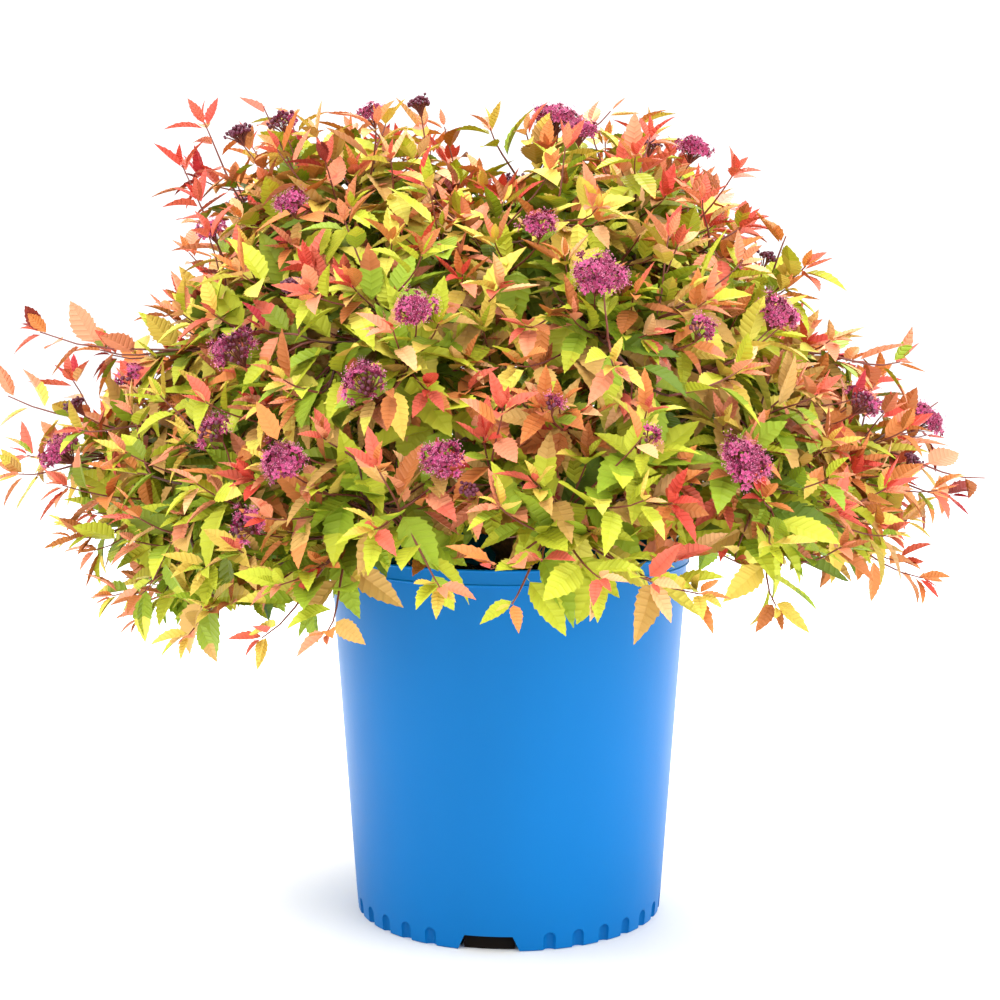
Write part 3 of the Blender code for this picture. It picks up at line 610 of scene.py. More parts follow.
class Shrub:
    """Everything that grows: limbs with bark, twigs, shoots, leaves and flower heads."""

    def __init__(self, plant):
        self.plant = plant
        self.rng = random.Random(plant.seed)
        self.boughs = []
        self.stems = []
        self.twigs = []
        self.shoots = []
        self.sprays = []
        self.leaves = []
        self.heads = []
        self.crowd = {}
        self.hosts = []
        self.ways = [
            unit(first + 360.0 * k / count, elevation)
            for elevation, count, first in RINGS
            for k in range(count)
        ]
        for number in range(len(self.ways)):
            self.grow_mass(number)
        self.grow_twigs()
        self.grow_long_shoots()
        self.grow_heads()
        self.grow_shoots()
        self.leaf_out()

    def mass_of(self, point):
        """Number of the mass whose cone holds the point."""
        away = (point - FORK).normalized()
        return max(range(len(self.ways)), key=lambda k: away.dot(self.ways[k]))

    def grow_mass(self, number):
        """One bough out of the fork, and the stem that carries its mass on to the outline."""
        way = self.ways[number]
        elevation = math.degrees(math.asin(way.z))
        azimuth = math.degrees(math.atan2(way.y, way.x))
        lift = FORK_LOWEST_ELEVATION + elevation * (90.0 - FORK_LOWEST_ELEVATION) / 90.0
        share = 1.0 - elevation / 90.0
        length = BOUGH_LENGTH + (BOUGH_LENGTH_LOW - BOUGH_LENGTH) * share
        base = FORK + unit(azimuth, lift) * FORK_RADIUS
        tip = FORK + way * length
        middle = (base + tip) / 2 + unit(azimuth, elevation + BOUGH_ARCH_LEAN) * BOUGH_ARCH * length * share
        path = bezier(base, base.lerp(middle, 2 / 3), tip.lerp(middle, 2 / 3), tip, LIMB_STEPS)
        forward = (path[-1] - path[-2]).normalized()
        reach = length
        while outline_share(FORK + way * reach) < 1.0:
            reach += OUTLINE_STEP
        end = FORK + way * (reach - STEM_SHORT_OF_OUTLINE)
        bend = tip + forward * (end - tip).length * STEM_BEND
        stem = bezier(tip, tip.lerp(bend, 2 / 3), end.lerp(bend, 2 / 3), end, LIMB_STEPS)
        self.boughs.append(Limb(path, *BOUGH_RADII))
        self.stems.append(Limb(stem, *STEM_RADII))
        self.hosts.append([stem])

    def best_root(self, number, target, shares, lean):
        """Where on the mass's limbs a twig to the target best leaves, and the limb's direction there."""
        best = None
        for path in self.hosts[number]:
            for share in shares:
                root, forward = along(path, share)
                gap = target - root
                cost = gap.length * (1.0 + LEAN_COST * abs(gap.angle(forward, 0.0) - lean) / lean)
                if best is None or cost < best[0]:
                    best = (cost, root, forward)
        return best[1], best[2]

    def path_to(self, root, forward, target, steps):
        """A curve that leaves its host at an angle and rises gently to its tip."""
        gap = target - root
        size = gap.length
        first = (gap.normalized() + forward * TWIG_START_SWEEP).normalized()
        last = (gap.normalized() + outward_at(target) * TWIG_TIP_OUT + UP * TWIG_TIP_RISE).normalized()
        first_handle = root + first * size * TWIG_HANDLE
        last_handle = target - last * size * TWIG_HANDLE
        return bezier(root, first_handle, last_handle, target, steps)

    def grow_twigs(self):
        for target in spread_tips(TWIG_TIPS, TWIG_DEPTHS):
            number = self.mass_of(target)
            root, forward = self.best_root(number, target, TWIG_ROOTS, TWIG_LEAN)
            size = (target - root).length
            if size < TWIG_SHORTEST:
                continue
            path = self.path_to(root, forward, target, LIMB_STEPS)
            if all(clear_of_pot(p) and p.z > skirt_height(p) for p in path[2:]):
                self.twigs.append(Limb(path, *TWIG_RADII))
                self.hosts[number].append(path)

    def grow_shoot(self, target, thick=1.0, longest=SHOOT_LONGEST):
        """A leafy shoot to the target, from the twig that reaches it best; None if there is no room."""
        number = self.mass_of(target)
        root, forward = self.best_root(number, target, SHOOT_ROOTS, SHOOT_LEAN)
        size = (target - root).length
        if not SHOOT_SHORTEST < size < longest:
            return None
        path = self.path_to(root, forward, target, SHOOT_STEPS)
        if not all(clear_of_pot(p) for p in path[1:]):
            return None
        radius = self.plant.shoot_radius
        self.shoots.append(Limb(path, radius * thick, radius * SHOOT_TAPER))
        return path

    def grow_long_shoots(self):
        for x, y in LONG_SHOOTS:
            target = Lens.on_crown(x, y, LONG_SHOOT_DEPTH)
            path = self.grow_shoot(target, LONG_SHOOT_THICKNESS, LONG_SHOOT_LONGEST)
            if path:
                mood = self.mood_at(target, 1.0)
                self.sprays.append(
                    Spray(path, mood, True, LONG_SHOOT_STRETCH, LONG_SHOOT_LIMIT, LONG_SHOOT_DROP)
                )

    def grow_heads(self):
        """Flower heads: those that the photograph shows, then others round the sides and back."""
        for x, y, width, kind in FRONT_HEADS:
            self.grow_head(Lens.on_crown(x, y, FRONT_HEAD_DEPTH), width * FRONT_HEAD_SCALE, kind)
        spare = spread_tips(self.plant.spare_heads * 2, SPARE_HEAD_DEPTHS, SPARE_HEAD_TURN)
        for target in spare:
            facing = outward_at(target)
            kind = self.rng.choice(("open", "open", "half", "bud"))
            width = self.rng.uniform(*SPARE_HEAD_WIDTHS) * (BUD_HEAD_SHARE if kind == "bud" else 1.0)
            if facing.y > SPARE_HEAD_FRONT and facing.z > SPARE_HEAD_LOWEST:
                self.grow_head(target, width, kind)

    def grow_head(self, centre, width, kind):
        if any((centre - head.centre).length < (width + head.width) * HEAD_ROOM for head in self.heads):
            return
        way = (outward_at(centre) * HEAD_FACES_OUT + UP * HEAD_FACES_UP).normalized()
        foot = centre - way * max(HEAD_RISE_LEAST, width * HEAD_RISE)
        path = self.grow_shoot(foot, HEAD_THICKNESS, LONG_SHOOT_LONGEST)
        if path:
            self.heads.append(Head(centre, way, width, kind, foot))
            self.sprays.append(Spray(path, self.mood_at(centre, 1.0), False, 1.0, BODY, 0.0))

    def grow_shoots(self):
        targets = spread_tips(self.plant.shoots, SHOOT_DEPTHS, SHOOT_TURN)
        for target, depth in zip(targets, itertools.cycle(SHOOT_DEPTHS)):
            target = target + Vector([self.rng.uniform(-SHOOT_JITTER, SHOOT_JITTER) for _ in range(3)])
            is_straggler = depth > STRAGGLER_DEPTH
            limit = STRAGGLER_LIMIT if is_straggler else BODY
            if not is_free(target, limit):
                continue
            path = self.grow_shoot(target)
            if path:
                stretch = STRAGGLER_STRETCH if is_straggler else 1.0
                self.sprays.append(Spray(path, self.mood_at(target, depth), True, stretch, limit, 0.0))

    def mood_at(self, point, depth):
        """Redder where the crown turned first, and green low down and inside."""
        way = outward_at(point)
        warm = MEAN_WARMTH + self.rng.uniform(-WARMTH_SPREAD, WARMTH_SPREAD)
        warm += WARMTH_PATCHES * noise.noise(point * PATCHES_PER_METRE)
        for place, added, width in WARM_WAYS:
            warm += added * math.exp(-0.5 * (math.degrees(way.angle(place)) / width) ** 2)
        if depth < INNER_DEPTH:
            return "inner" if self.rng.random() < INNER_SHARE else "shady"
        if depth < MIDDLE_DEPTH:
            warm -= MIDDLE_COOLER
        for mood, least in MOOD_STEPS:
            if warm > least:
                return mood
        return "shady"

    def leaf_out(self):
        """Leaves on every spray, then sparser leaves back along the twigs and stems."""
        for spray in self.sprays:
            self.limit, self.drop = spray.limit, spray.drop
            rosette, upper, lower = (self.rng.sample(tints, 2) for tints in MOODS[spray.mood])
            if spray.has_rosette:
                self.limit += ROSETTE_ROOM
                self.rosette(spray.path, rosette)
                self.limit -= ROSETTE_ROOM
            self.leafy_run(spray.path, upper, lower, spray.stretch, MOOD_SIZES[spray.mood])
        self.limit, self.drop = BODY, 0.0
        for limb in self.twigs:
            self.inner_run(limb.points, BARE_TWIG)
        for limb in self.stems:
            self.inner_run(limb.points, BARE_STEM)

    def rosette(self, path, tints):
        """Young leaves round a shoot's tip, the youngest most upright."""
        tip, way = path[-1], (path[-1] - path[-2]).normalized()
        turn = self.rng.uniform(0.0, math.tau)
        count = self.rng.randint(*ROSETTE_LEAVES)
        for k in range(count):
            opening = ROSETTE_LEAN + ROSETTE_OPENING * k / count
            lean = math.radians(opening + self.rng.uniform(-ROSETTE_WOBBLE, ROSETTE_WOBBLE))
            size = self.plant.young_length * (ROSETTE_SMALLEST + ROSETTE_GROWTH * k / count)
            size *= self.rng.uniform(*ROSETTE_SIZES)
            kind = self.rng.choice(YOUNG_KINDS)
            root = tip - way * ROSETTE_STEP * k
            tint = tints[k % len(tints)]
            self.add_leaf(root, way, lean, turn, size, kind, tint, tint, ROSETTE_DROOP, 0.0)
            turn += GOLDEN_ANGLE + self.rng.uniform(-TURN_WOBBLE, TURN_WOBBLE)

    def leafy_run(self, path, upper, lower, stretch, scale):
        """Alternate leaves down a shoot from below its tip, larger and greener towards its foot."""
        size = path_length(path)
        turn = self.rng.uniform(0.0, math.tau)
        place = size - FIRST_GAP
        k = 0
        while place > size * BARE_FOOT:
            root, way = along(path, place / size)
            young = max(0.0, 1.0 - k / YOUNG_LEAVES)
            opening = GROWN_LEAN - YOUNG_LEAN * young
            lean = math.radians(opening + self.rng.uniform(-GROWN_WOBBLE, GROWN_WOBBLE))
            full = self.plant.leaf_length * scale * (1.0 - YOUNG_SHRINK * young)
            full *= self.rng.uniform(*GROWN_SIZES)
            tints = upper if k < YOUNG_LEAVES else lower
            tint = tints[0] if self.rng.random() < MAIN_TINT_SHARE else tints[-1]
            is_two_toned = k < TWO_TONED_LEAVES and self.rng.random() < TWO_TONED_SHARE
            foot_tint = self.rng.choice(lower) if is_two_toned else tint
            kind = self.rng.choice(GROWN_KINDS) if young < YOUNG_LOOK else YOUNG_KINDS[-1]
            self.add_leaf(root, way, lean, turn, full, kind, foot_tint, tint, LEAF_DROOP, LEAF_GAP)
            turn += GOLDEN_ANGLE + self.rng.uniform(-TURN_WOBBLE, TURN_WOBBLE)
            place -= self.plant.leaf_pitch * stretch * self.rng.uniform(*GROWN_GAPS)
            k += 1

    def inner_run(self, path, first):
        """Larger leaves along the woody twigs inside the crown, down to a share of their length."""
        size = path_length(path)
        turn = self.rng.uniform(0.0, math.tau)
        place = size * INNER_START
        while place > size * first:
            root, way = along(path, place / size)
            lean = math.radians(INNER_LEAN + self.rng.uniform(-INNER_WOBBLE, INNER_WOBBLE))
            tint = self.rng.choice(INNER_TINTS)
            full = self.plant.leaf_length * self.rng.uniform(*INNER_SIZES)
            kind = self.rng.choice(GROWN_KINDS)
            self.add_leaf(root, way, lean, turn, full, kind, tint, tint, INNER_DROOP, LEAF_GAP)
            turn += GOLDEN_ANGLE
            place -= self.plant.leaf_pitch * self.rng.uniform(*INNER_GAPS)

    def add_leaf(self, root, stem_way, lean, turn, length, kind, tint, tip_tint, droop, least_gap):
        """One leaf, leaning out of its shoot with its face up and outward, where there is room for it."""
        side = Matrix.Rotation(turn, 3, stem_way) @ stem_way.orthogonal().normalized()
        way = (stem_way * math.cos(lean) + side * math.sin(lean) - UP * droop * LEAF_SAG).normalized()
        wobble = Vector([self.rng.uniform(-LEAF_FACE_WOBBLE, LEAF_FACE_WOBBLE) for _ in range(3)])
        face = outward_at(root) * LEAF_FACES_OUT + UP * LEAF_FACES_UP + stem_way * LEAF_FACES_ALONG + wobble
        normal = face - way * face.dot(way)
        if normal.length < LEAF_FACE_LEAST:
            normal = way.orthogonal()
        normal.normalize()
        across = normal.cross(way)
        tip = root + way * length
        middle = root + way * length * 0.5
        edge = across * length * LEAF_EDGE
        if not (is_free(tip, self.limit, self.drop) and is_free(middle, self.limit, self.drop)):
            return
        if not in_reach(tip):
            return
        if not (clear_of_pot(middle + edge) and clear_of_pot(middle - edge)):
            return
        if self.hides_head(middle, length) or self.is_crowded(middle, least_gap):
            return
        turn_matrix = Matrix((way, across, normal)).transposed()
        self.leaves.append(Leaf(root, turn_matrix.to_quaternion(), length, kind, tint, tip_tint))

    def hides_head(self, point, length):
        """Whether a leaf would stand in a flower head or over its face."""
        for head in self.heads:
            gap = point - head.centre
            if gap.length > head.width + length:
                continue
            outward = outward_at(head.centre)
            forward = gap.dot(outward)
            off_axis = (gap - outward * forward).length
            margin = head.width * 0.5 + length * HEAD_FACE_MARGIN
            if forward > -head.width * HEAD_FACE_DEPTH and off_axis < margin:
                return True
        return False

    def is_crowded(self, point, least):
        """Whether another leaf's middle is nearer than the least gap; if not, the place is taken."""
        if least <= 0.0:
            return False
        cell = tuple(int(math.floor(value / least)) for value in point)
        for x in (-1, 0, 1):
            for y in (-1, 0, 1):
                for z in (-1, 0, 1):
                    for other in self.crowd.get((cell[0] + x, cell[1] + y, cell[2] + z), ()):
                        if (other - point).length < least:
                            return True
        self.crowd.setdefault(cell, []).append(point)
        return False


GROWTH_VALUES = (
    "seed", "shoots", "shoot_radius", "leaf_length", "young_length", "leaf_pitch", "spare_heads",
)


@functools.lru_cache(maxsize=1)
def shrub_of(values):
    """The shrub for one set of the panel's values, which tell one shrub from another."""
    return Shrub(bpy.context.scene.spirea_plant)


def grown(plant):
    """The shrub, grown once and shared by the operators until a value changes."""
    return shrub_of(tuple(getattr(plant, name) for name in GROWTH_VALUES))


class Wire:
    """A node's output with Python's arithmetic: an expression adds the Math nodes it needs."""

    def __init__(self, graph, socket):
        self.graph = graph
        self.socket = socket

    def math(self, operation, *values):
        return self.graph.add("ShaderNodeMath", {"operation": operation}, *values)

    def sine(self):
        return self.math("SINE", self)

    def __add__(self, other):
        return self.math("ADD", self, other)

    def __sub__(self, other):
        return self.math("SUBTRACT", self, other)

    def __rsub__(self, other):
        return self.math("SUBTRACT", other, self)

    def __mul__(self, other):
        return self.math("MULTIPLY", self, other)

    def __pow__(self, other):
        return self.math("POWER", self, other)

    def __abs__(self):
        return self.math("ABSOLUTE", self)

    __radd__ = __add__
    __rmul__ = __mul__


class Graph:
    """A node tree under construction."""

    def __init__(self, tree):
        self.tree = tree

    def add(self, kind, settings=None, *values, out=0, **named):
        """Adds a node: its settings first, then its sockets by order and by name (spaces as _)."""
        node = self.tree.nodes.new(kind)
        for key, value in (settings or {}).items():
            if key == "stops":
                self.set_stops(node.color_ramp, value)
            else:
                setattr(node, key, value)
        sockets = [s for s in node.inputs if s.enabled and not s.is_unavailable]
        filled = list(zip(sockets, values))
        for key, value in named.items():
            label = key.replace("_", " ")
            filled.append((next(s for s in sockets if s.name == label), value))
        for socket, value in filled:
            if value is None:
                continue
            if isinstance(value, Wire):
                self.tree.links.new(value.socket, socket)
            else:
                socket.default_value = value
        outputs = [s for s in node.outputs if s.enabled and not s.is_unavailable]
        return Wire(self, outputs[out]) if outputs else node

    @staticmethod
    def set_stops(ramp, stops):
        while len(ramp.elements) < len(stops):
            ramp.elements.new(0.5)
        for element, (place, colour) in zip(ramp.elements, stops):
            element.position = place
            element.color = (*colour, 1.0)


def finish(name, colour, roughness, draw=None, **constants):
    """A Principled material; draw(graph) may return links for Base Color, Roughness and Normal."""
    made = bpy.data.materials.new(name)
    made.use_nodes = True
    made.diffuse_color = (*colour, 1.0)
    shader = made.node_tree.nodes["Principled BSDF"]
    shader.inputs["Base Color"].default_value = (*colour, 1.0)
    shader.inputs["Roughness"].default_value = roughness
    for key, value in constants.items():
        shader.inputs[key.replace("_", " ")].default_value = value
    links = draw(Graph(made.node_tree)) if draw else {}
    for key, wire in links.items():
        made.node_tree.links.new(wire.socket, shader.inputs[key])
    return made


def bump(graph, height, strength, distance):
    return graph.add("ShaderNodeBump", None, Strength=strength, Distance=distance, Height=height)


def object_noise(graph, scale, detail=2.0, roughness=0.5, stretch=(1.0, 1.0, 1.0)):
    """Noise in the piece's own space, as a value round 0.5."""
    place = graph.add("ShaderNodeTexCoord", None, out=3)
    spread = graph.add("ShaderNodeMapping", None, Vector=place, Scale=stretch)
    return graph.add(
        "ShaderNodeTexNoise", None, Vector=spread, Scale=scale, Detail=detail, Roughness=roughness
    )


def shade(colour, factor):
    return tuple(max(0.0, min(1.0, value * factor)) for value in colour)


def ramp(graph, value, *stops):
    return graph.add("ShaderNodeValToRGB", {"stops": stops}, value)


def pot_finish(colour):
    """Moulded plastic: faint flow marks in its colour, a fine matt grain and soft wear."""
    def draw(graph):
        flow = object_noise(graph, 7.0, 3.0, 0.55, (1.0, 1.0, 0.35))
        grain = object_noise(graph, 900.0, 2.0)
        scuff = object_noise(graph, 42.0, 4.0, 0.6, (1.0, 1.0, 0.25))
        base = ramp(graph, flow, (0.30, shade(colour, 0.93)), (0.70, shade(colour, 1.07)))
        rough = scuff * 0.16 + grain * 0.05 + 0.29
        height = grain * 0.6 + flow * 0.4
        return {"Base Color": base, "Roughness": rough, "Normal": bump(graph, height, 0.10, 0.0006)}
    return finish("moulded_plastic", colour, 0.36, draw, Specular_IOR_Level=0.12)


def mix_finish():
    """Moist bark mix: dark crumbs of several browns."""
    def draw(graph):
        crumbs = object_noise(graph, 240.0, 6.0, 0.7)
        tone = ramp(
            graph, crumbs, (0.34, srgb(26, 18, 13)), (0.52, srgb(58, 40, 28)), (0.68, srgb(96, 70, 48))
        )
        return {"Base Color": tone, "Normal": bump(graph, crumbs, 0.9, 0.003)}
    return finish("potting_mix_crumbs", srgb(52, 36, 26), 0.92, draw)


def bark_finish(colour):
    """Thin bark: long flakes over a darker ground."""
    def draw(graph):
        flakes = object_noise(graph, 320.0, 5.0, 0.62)
        tone = ramp(
            graph, flakes, (0.32, shade(colour, 0.5)), (0.50, colour), (0.66, shade(colour, 1.6))
        )
        return {"Base Color": tone, "Normal": bump(graph, flakes, 0.7, 0.0012)}
    return finish("thin_bark", colour, 0.85, draw)


def leaf_finish(name, colour):
    """A leaf of one plain colour whose side veins run forward from its midrib."""
    def draw(graph):
        place = graph.add("ShaderNodeUVMap", {"uv_map": LEAF_MAP})
        parts = graph.add("ShaderNodeSeparateXYZ", None, place)
        across = Wire(graph, parts.socket.node.outputs["Y"])
        out = abs(across - 0.5)
        ridge = (parts * VEINS - out * VEIN_SLANT).sine() * 0.5 + 0.5
        return {"Normal": bump(graph, ridge ** 3, 1.0, VEIN_RISE)}
    return finish(name, colour, 0.55, draw, Specular_IOR_Level=0.25)


def new_object(name, data):
    made = bpy.data.objects.new(name, data)
    bpy.context.scene.collection.objects.link(made)
    return made


def new_mesh(name, bm):
    """A mesh with what the bmesh holds; the bmesh is freed."""
    mesh = bpy.data.meshes.new(name)
    bm.to_mesh(mesh)
    bm.free()
    return mesh


class LeafShape:
    """Outline of one leaf, a unit long along +X with its face up."""

    # Where the blade is widest, and how it narrows towards its foot and its tip
    widest = 0.40
    foot_curve = 0.72
    tip_curve = 1.08
    # Its edge: how far forward veins run, and how far notches and teeth stand from the outline
    vein_slant = 0.07
    notch = 0.94
    tooth = 1.08
    tooth_least = 0.004
    tooth_step = 0.80
    last_tooth = 0.985
    # How much a drooping blade looks shorter, and half the width of its stalk
    fore_shortening = 0.12
    stalk_half = 0.009

    def __init__(self, width, fold, droop, twist, teeth, stalk=0.09):
        self.width = width
        self.fold = fold
        self.droop = droop
        self.twist = twist
        self.teeth = teeth
        self.stalk = stalk

    def half_width(self, t):
        """Half the blade's width at a share of its length: widest before the middle, long pointed."""
        if t <= 0.0 or t >= 1.0:
            return 0.0
        rise = (t / self.widest) ** self.foot_curve
        return self.width / 2 * rise * ((1.0 - t) / (1.0 - self.widest)) ** self.tip_curve

    def point(self, t, across):
        """A point of the folded, drooping blade, with its flat place kept for the leaf map."""
        x = self.stalk + (1.0 - self.stalk) * t
        lift = self.fold * abs(across) - self.droop * t * t
        lift += self.twist * across * t
        return Vector((x * (1.0 - self.fore_shortening * self.droop * t), across, lift))

    def mesh(self, name, part="whole"):
        """The blade as rows of faces that follow its side veins: all of it, its foot or its tip."""
        bm = bmesh.new()
        uv = bm.loops.layers.uv.new(LEAF_MAP)
        flat = {}

        def corner(t, across):
            vert = bm.verts.new(self.point(t, across))
            flat[vert] = (self.stalk + (1.0 - self.stalk) * t, 0.5 + across)
            return vert

        middle = self.teeth // 2
        first, last = {"whole": (0, self.teeth), "foot": (0, middle), "tip": (middle, self.teeth)}[part]
        shares = [k / self.teeth for k in range(self.teeth + 1)]
        rib = {k: corner(shares[k], 0.0) for k in range(first, last + 1)}
        for sign in (1.0, -1.0):
            edge = {}
            for k in range(first, last + 1):
                reach = min(1.0, shares[k] + self.vein_slant)
                is_end = k in (0, self.teeth)
                edge[k] = rib[k] if is_end else corner(reach, sign * self.half_width(reach) * self.notch)
            for k in range(first, last):
                reach = min(self.last_tooth, shares[k] + self.vein_slant + self.tooth_step / self.teeth)
                out = self.half_width(reach) * self.tooth + self.tooth_least
                tooth = corner(reach, sign * out)
                ring = [rib[k], edge[k], tooth, edge[k + 1], rib[k + 1]]
                ring = [vert for i, vert in enumerate(ring) if vert not in ring[:i]]
                bm.faces.new(ring if sign < 0 else ring[::-1])
        if first == 0:
            foot = []
            for y in (self.stalk_half, -self.stalk_half):
                vert = bm.verts.new((0.0, y, 0.0))
                flat[vert] = (0.0, 0.5 + y)
                foot.append(vert)
            bm.faces.new((foot[0], foot[1], rib[0]))
        for face in bm.faces:
            face.smooth = True
            for loop in face.loops:
                loop[uv].uv = flat[loop.vert]
        spine = set(rib.values())
        for edge in bm.edges:
            if all(vert in spine for vert in edge.verts):
                edge.smooth = False
        return new_mesh(name, bm)


LEAF_SHAPES = (
    # width, fold, droop, twist, teeth on each side; the last two are young leaves
    LeafShape(0.39, 0.34, 0.14, 0.10, 8),
    LeafShape(0.36, 0.46, 0.30, -0.12, 8),
    LeafShape(0.43, 0.24, 0.06, 0.20, 8),
    LeafShape(0.31, 0.58, -0.08, 0.0, 6),
    LeafShape(0.35, 0.48, 0.18, 0.16, 6),
)


def petals_mesh(name, petals=5, cup=0.04):
    """An open floret a unit wide: rounded petals round a small cup, facing +Z."""
    bm = bmesh.new()
    centre = bm.verts.new((0.0, 0.0, -cup))
    outline = ((0.30, 0.19, 0.10), (0.50, 0.09, 0.13), (0.50, -0.09, 0.13), (0.30, -0.19, 0.10))
    for k in range(petals):
        turn = Matrix.Rotation(k * math.tau / petals, 4, "Z")
        rim = [bm.verts.new(turn @ Vector(spot)) for spot in outline]
        bm.faces.new([centre, *rim][::-1])
    bmesh.ops.recalc_face_normals(bm, faces=bm.faces)
    return new_mesh(name, bm)


def stamens_mesh(name, stamens=9, thread=0.024, anther_width=0.06, anther_length=0.05):
    """The stamens of one floret: fine threads, each with a small anther at its end."""
    elevations = (30.0, 48.0, 66.0)
    lengths = (0.58, 0.68)
    bm = bmesh.new()
    for k in range(stamens):
        way = unit(k * math.degrees(GOLDEN_ANGLE), elevations[k % 3])
        end = way * lengths[k % 2]
        side = way.orthogonal().normalized() * thread
        foot = [bm.verts.new(side), bm.verts.new(-side)]
        bm.faces.new([*foot, bm.verts.new(end)])
        wide = way.cross(side).normalized() * anther_width
        long = way * anther_length
        spots = (end + wide, end + long, end - wide, end - long)
        bm.faces.new([bm.verts.new(spot) for spot in spots])
    return new_mesh(name, bm)


def bead_mesh(name):
    """A small rounded bead a unit wide."""
    bm = bmesh.new()
    bmesh.ops.create_icosphere(bm, subdivisions=1, radius=0.5)
    for face in bm.faces:
        face.smooth = True
    return new_mesh(name, bm)


def chip_mesh(name, seed, width=0.5, thickness=0.24, splinter=0.16):
    """A splintered chip of bark a unit long."""
    bm = bmesh.new()
    bmesh.ops.create_cube(bm, size=1.0)
    rng = random.Random(seed)
    for vert in bm.verts:
        x, y, z = vert.co
        shove = Vector([rng.uniform(-splinter, splinter) for _ in range(3)])
        vert.co = Vector((x, y * width, z * thickness)) + shove * 0.6
    return new_mesh(name, bm)


def shape_collection(name, meshes):
    """A hidden collection with one object for each shape, in the order of their names."""
    kept = bpy.data.collections.new(name)
    for mesh in meshes:
        kept.objects.link(bpy.data.objects.new(mesh.name, mesh))
    return kept


def drop_collection(kept):
    for shape in list(kept.objects):
        mesh = shape.data
        bpy.data.objects.remove(shape, do_unlink=True)
        bpy.data.meshes.remove(mesh)
    bpy.data.collections.remove(kept)


def new_tree(name, inputs):
    """An empty geometry tree with named inputs after its geometry, and its group input and output."""
    tree = bpy.data.node_groups.new(name, "GeometryNodeTree")
    tree.interface.new_socket("Geometry", in_out="INPUT", socket_type="NodeSocketGeometry")
    for label, kind in inputs:
        tree.interface.new_socket(label, in_out="INPUT", socket_type=kind)
    tree.interface.new_socket("Geometry", in_out="OUTPUT", socket_type="NodeSocketGeometry")
    graph = Graph(tree)
    entry = tree.nodes.new("NodeGroupInput")
    wires = [Wire(graph, socket) for socket in entry.outputs[: len(inputs) + 1]]
    return tree, graph, wires


def close_tree(graph, geometry, material):
    """Ends a tree: instances are realized and the material is set."""
    real = graph.add("GeometryNodeRealizeInstances", None, geometry)
    coated = graph.add("GeometryNodeSetMaterial", None, real, Material=material)
    exit_node = graph.tree.nodes.new("NodeGroupOutput")
    graph.tree.links.new(coated.socket, exit_node.inputs[0])


def scatter_tree():
    """Puts a shape on every point, picked, turned and sized by the point's own values."""
    tree, graph, (points, shapes, material) = new_tree(
        "scatter", (("Shapes", "NodeSocketCollection"), ("Material", "NodeSocketMaterial"))
    )
    kinds = graph.add(
        "GeometryNodeCollectionInfo", None, shapes, Separate_Children=True, Reset_Children=True
    )
    read = functools.partial(graph.add, "GeometryNodeInputNamedAttribute")
    placed = graph.add(
        "GeometryNodeInstanceOnPoints", None, points, Instance=kinds, Pick_Instance=True,
        Instance_Index=read({"data_type": "INT"}, "kind"),
        Rotation=read({"data_type": "QUATERNION"}, "turn"),
        Scale=read({"data_type": "FLOAT"}, "size"),
    )
    close_tree(graph, placed, material)
    return tree


def sweep_tree():
    """Sweeps a round section along every curve, as thick as the curve's own radius."""
    tree, graph, (curves, sides, material) = new_tree(
        "sweep", (("Sides", "NodeSocketInt"), ("Material", "NodeSocketMaterial"))
    )
    ring = graph.add("GeometryNodeCurvePrimitiveCircle", None, Resolution=sides, Radius=1.0)
    thickness = graph.add("GeometryNodeInputRadius")
    tube = graph.add("GeometryNodeCurveToMesh", None, curves, ring, Scale=thickness, Fill_Caps=True)
    smooth = graph.add("GeometryNodeSetShadeSmooth", None, tube)
    close_tree(graph, smooth, material)
    return tree


def strew_tree():
    """Strews shapes over a surface, each turned and sized at random."""
    tree, graph, (surface, shapes, density, smallest, largest, seed, material) = new_tree(
        "strew",
        (
            ("Shapes", "NodeSocketCollection"), ("Density", "NodeSocketFloat"),
            ("Smallest", "NodeSocketFloat"), ("Largest", "NodeSocketFloat"),
            ("Seed", "NodeSocketInt"), ("Material", "NodeSocketMaterial"),
        ),
    )
    points = graph.add("GeometryNodeDistributePointsOnFaces", None, surface, Density=density, Seed=seed)
    kinds = graph.add(
        "GeometryNodeCollectionInfo", None, shapes, Separate_Children=True, Reset_Children=True
    )
    turn = graph.add(
        "FunctionNodeRandomValue", {"data_type": "FLOAT_VECTOR"}, (-0.5, -0.5, 0.0), (0.5, 0.5, math.tau),
        Seed=seed,
    )
    size = graph.add("FunctionNodeRandomValue", {"data_type": "FLOAT"}, smallest, largest, Seed=seed)
    placed = graph.add(
        "GeometryNodeInstanceOnPoints", None, points, Instance=kinds, Pick_Instance=True,
        Rotation=turn, Scale=size,
    )
    close_tree(graph, placed, material)
    return tree


def grow_by_tree(name, data, tree, **values):
    """A plain mesh object made by running a tree on the data, with its inputs set by identifier."""
    source = new_object(f"{name}_source", data)
    modifier = source.modifiers.new("grow", "NODES")
    modifier.node_group = tree
    for label, value in values.items():
        socket = tree.interface.items_tree[label.replace("_", " ")]
        modifier[socket.identifier] = value
    graph = bpy.context.evaluated_depsgraph_get()
    mesh = bpy.data.meshes.new_from_object(source.evaluated_get(graph), depsgraph=graph)
    source.modifiers.remove(modifier)
    bpy.data.objects.remove(source, do_unlink=True)
    for label in ("kind", "turn", "size", "radius"):
        if label in mesh.attributes:
            mesh.attributes.remove(mesh.attributes[label])
    mesh.name = name
    return new_object(name, mesh)


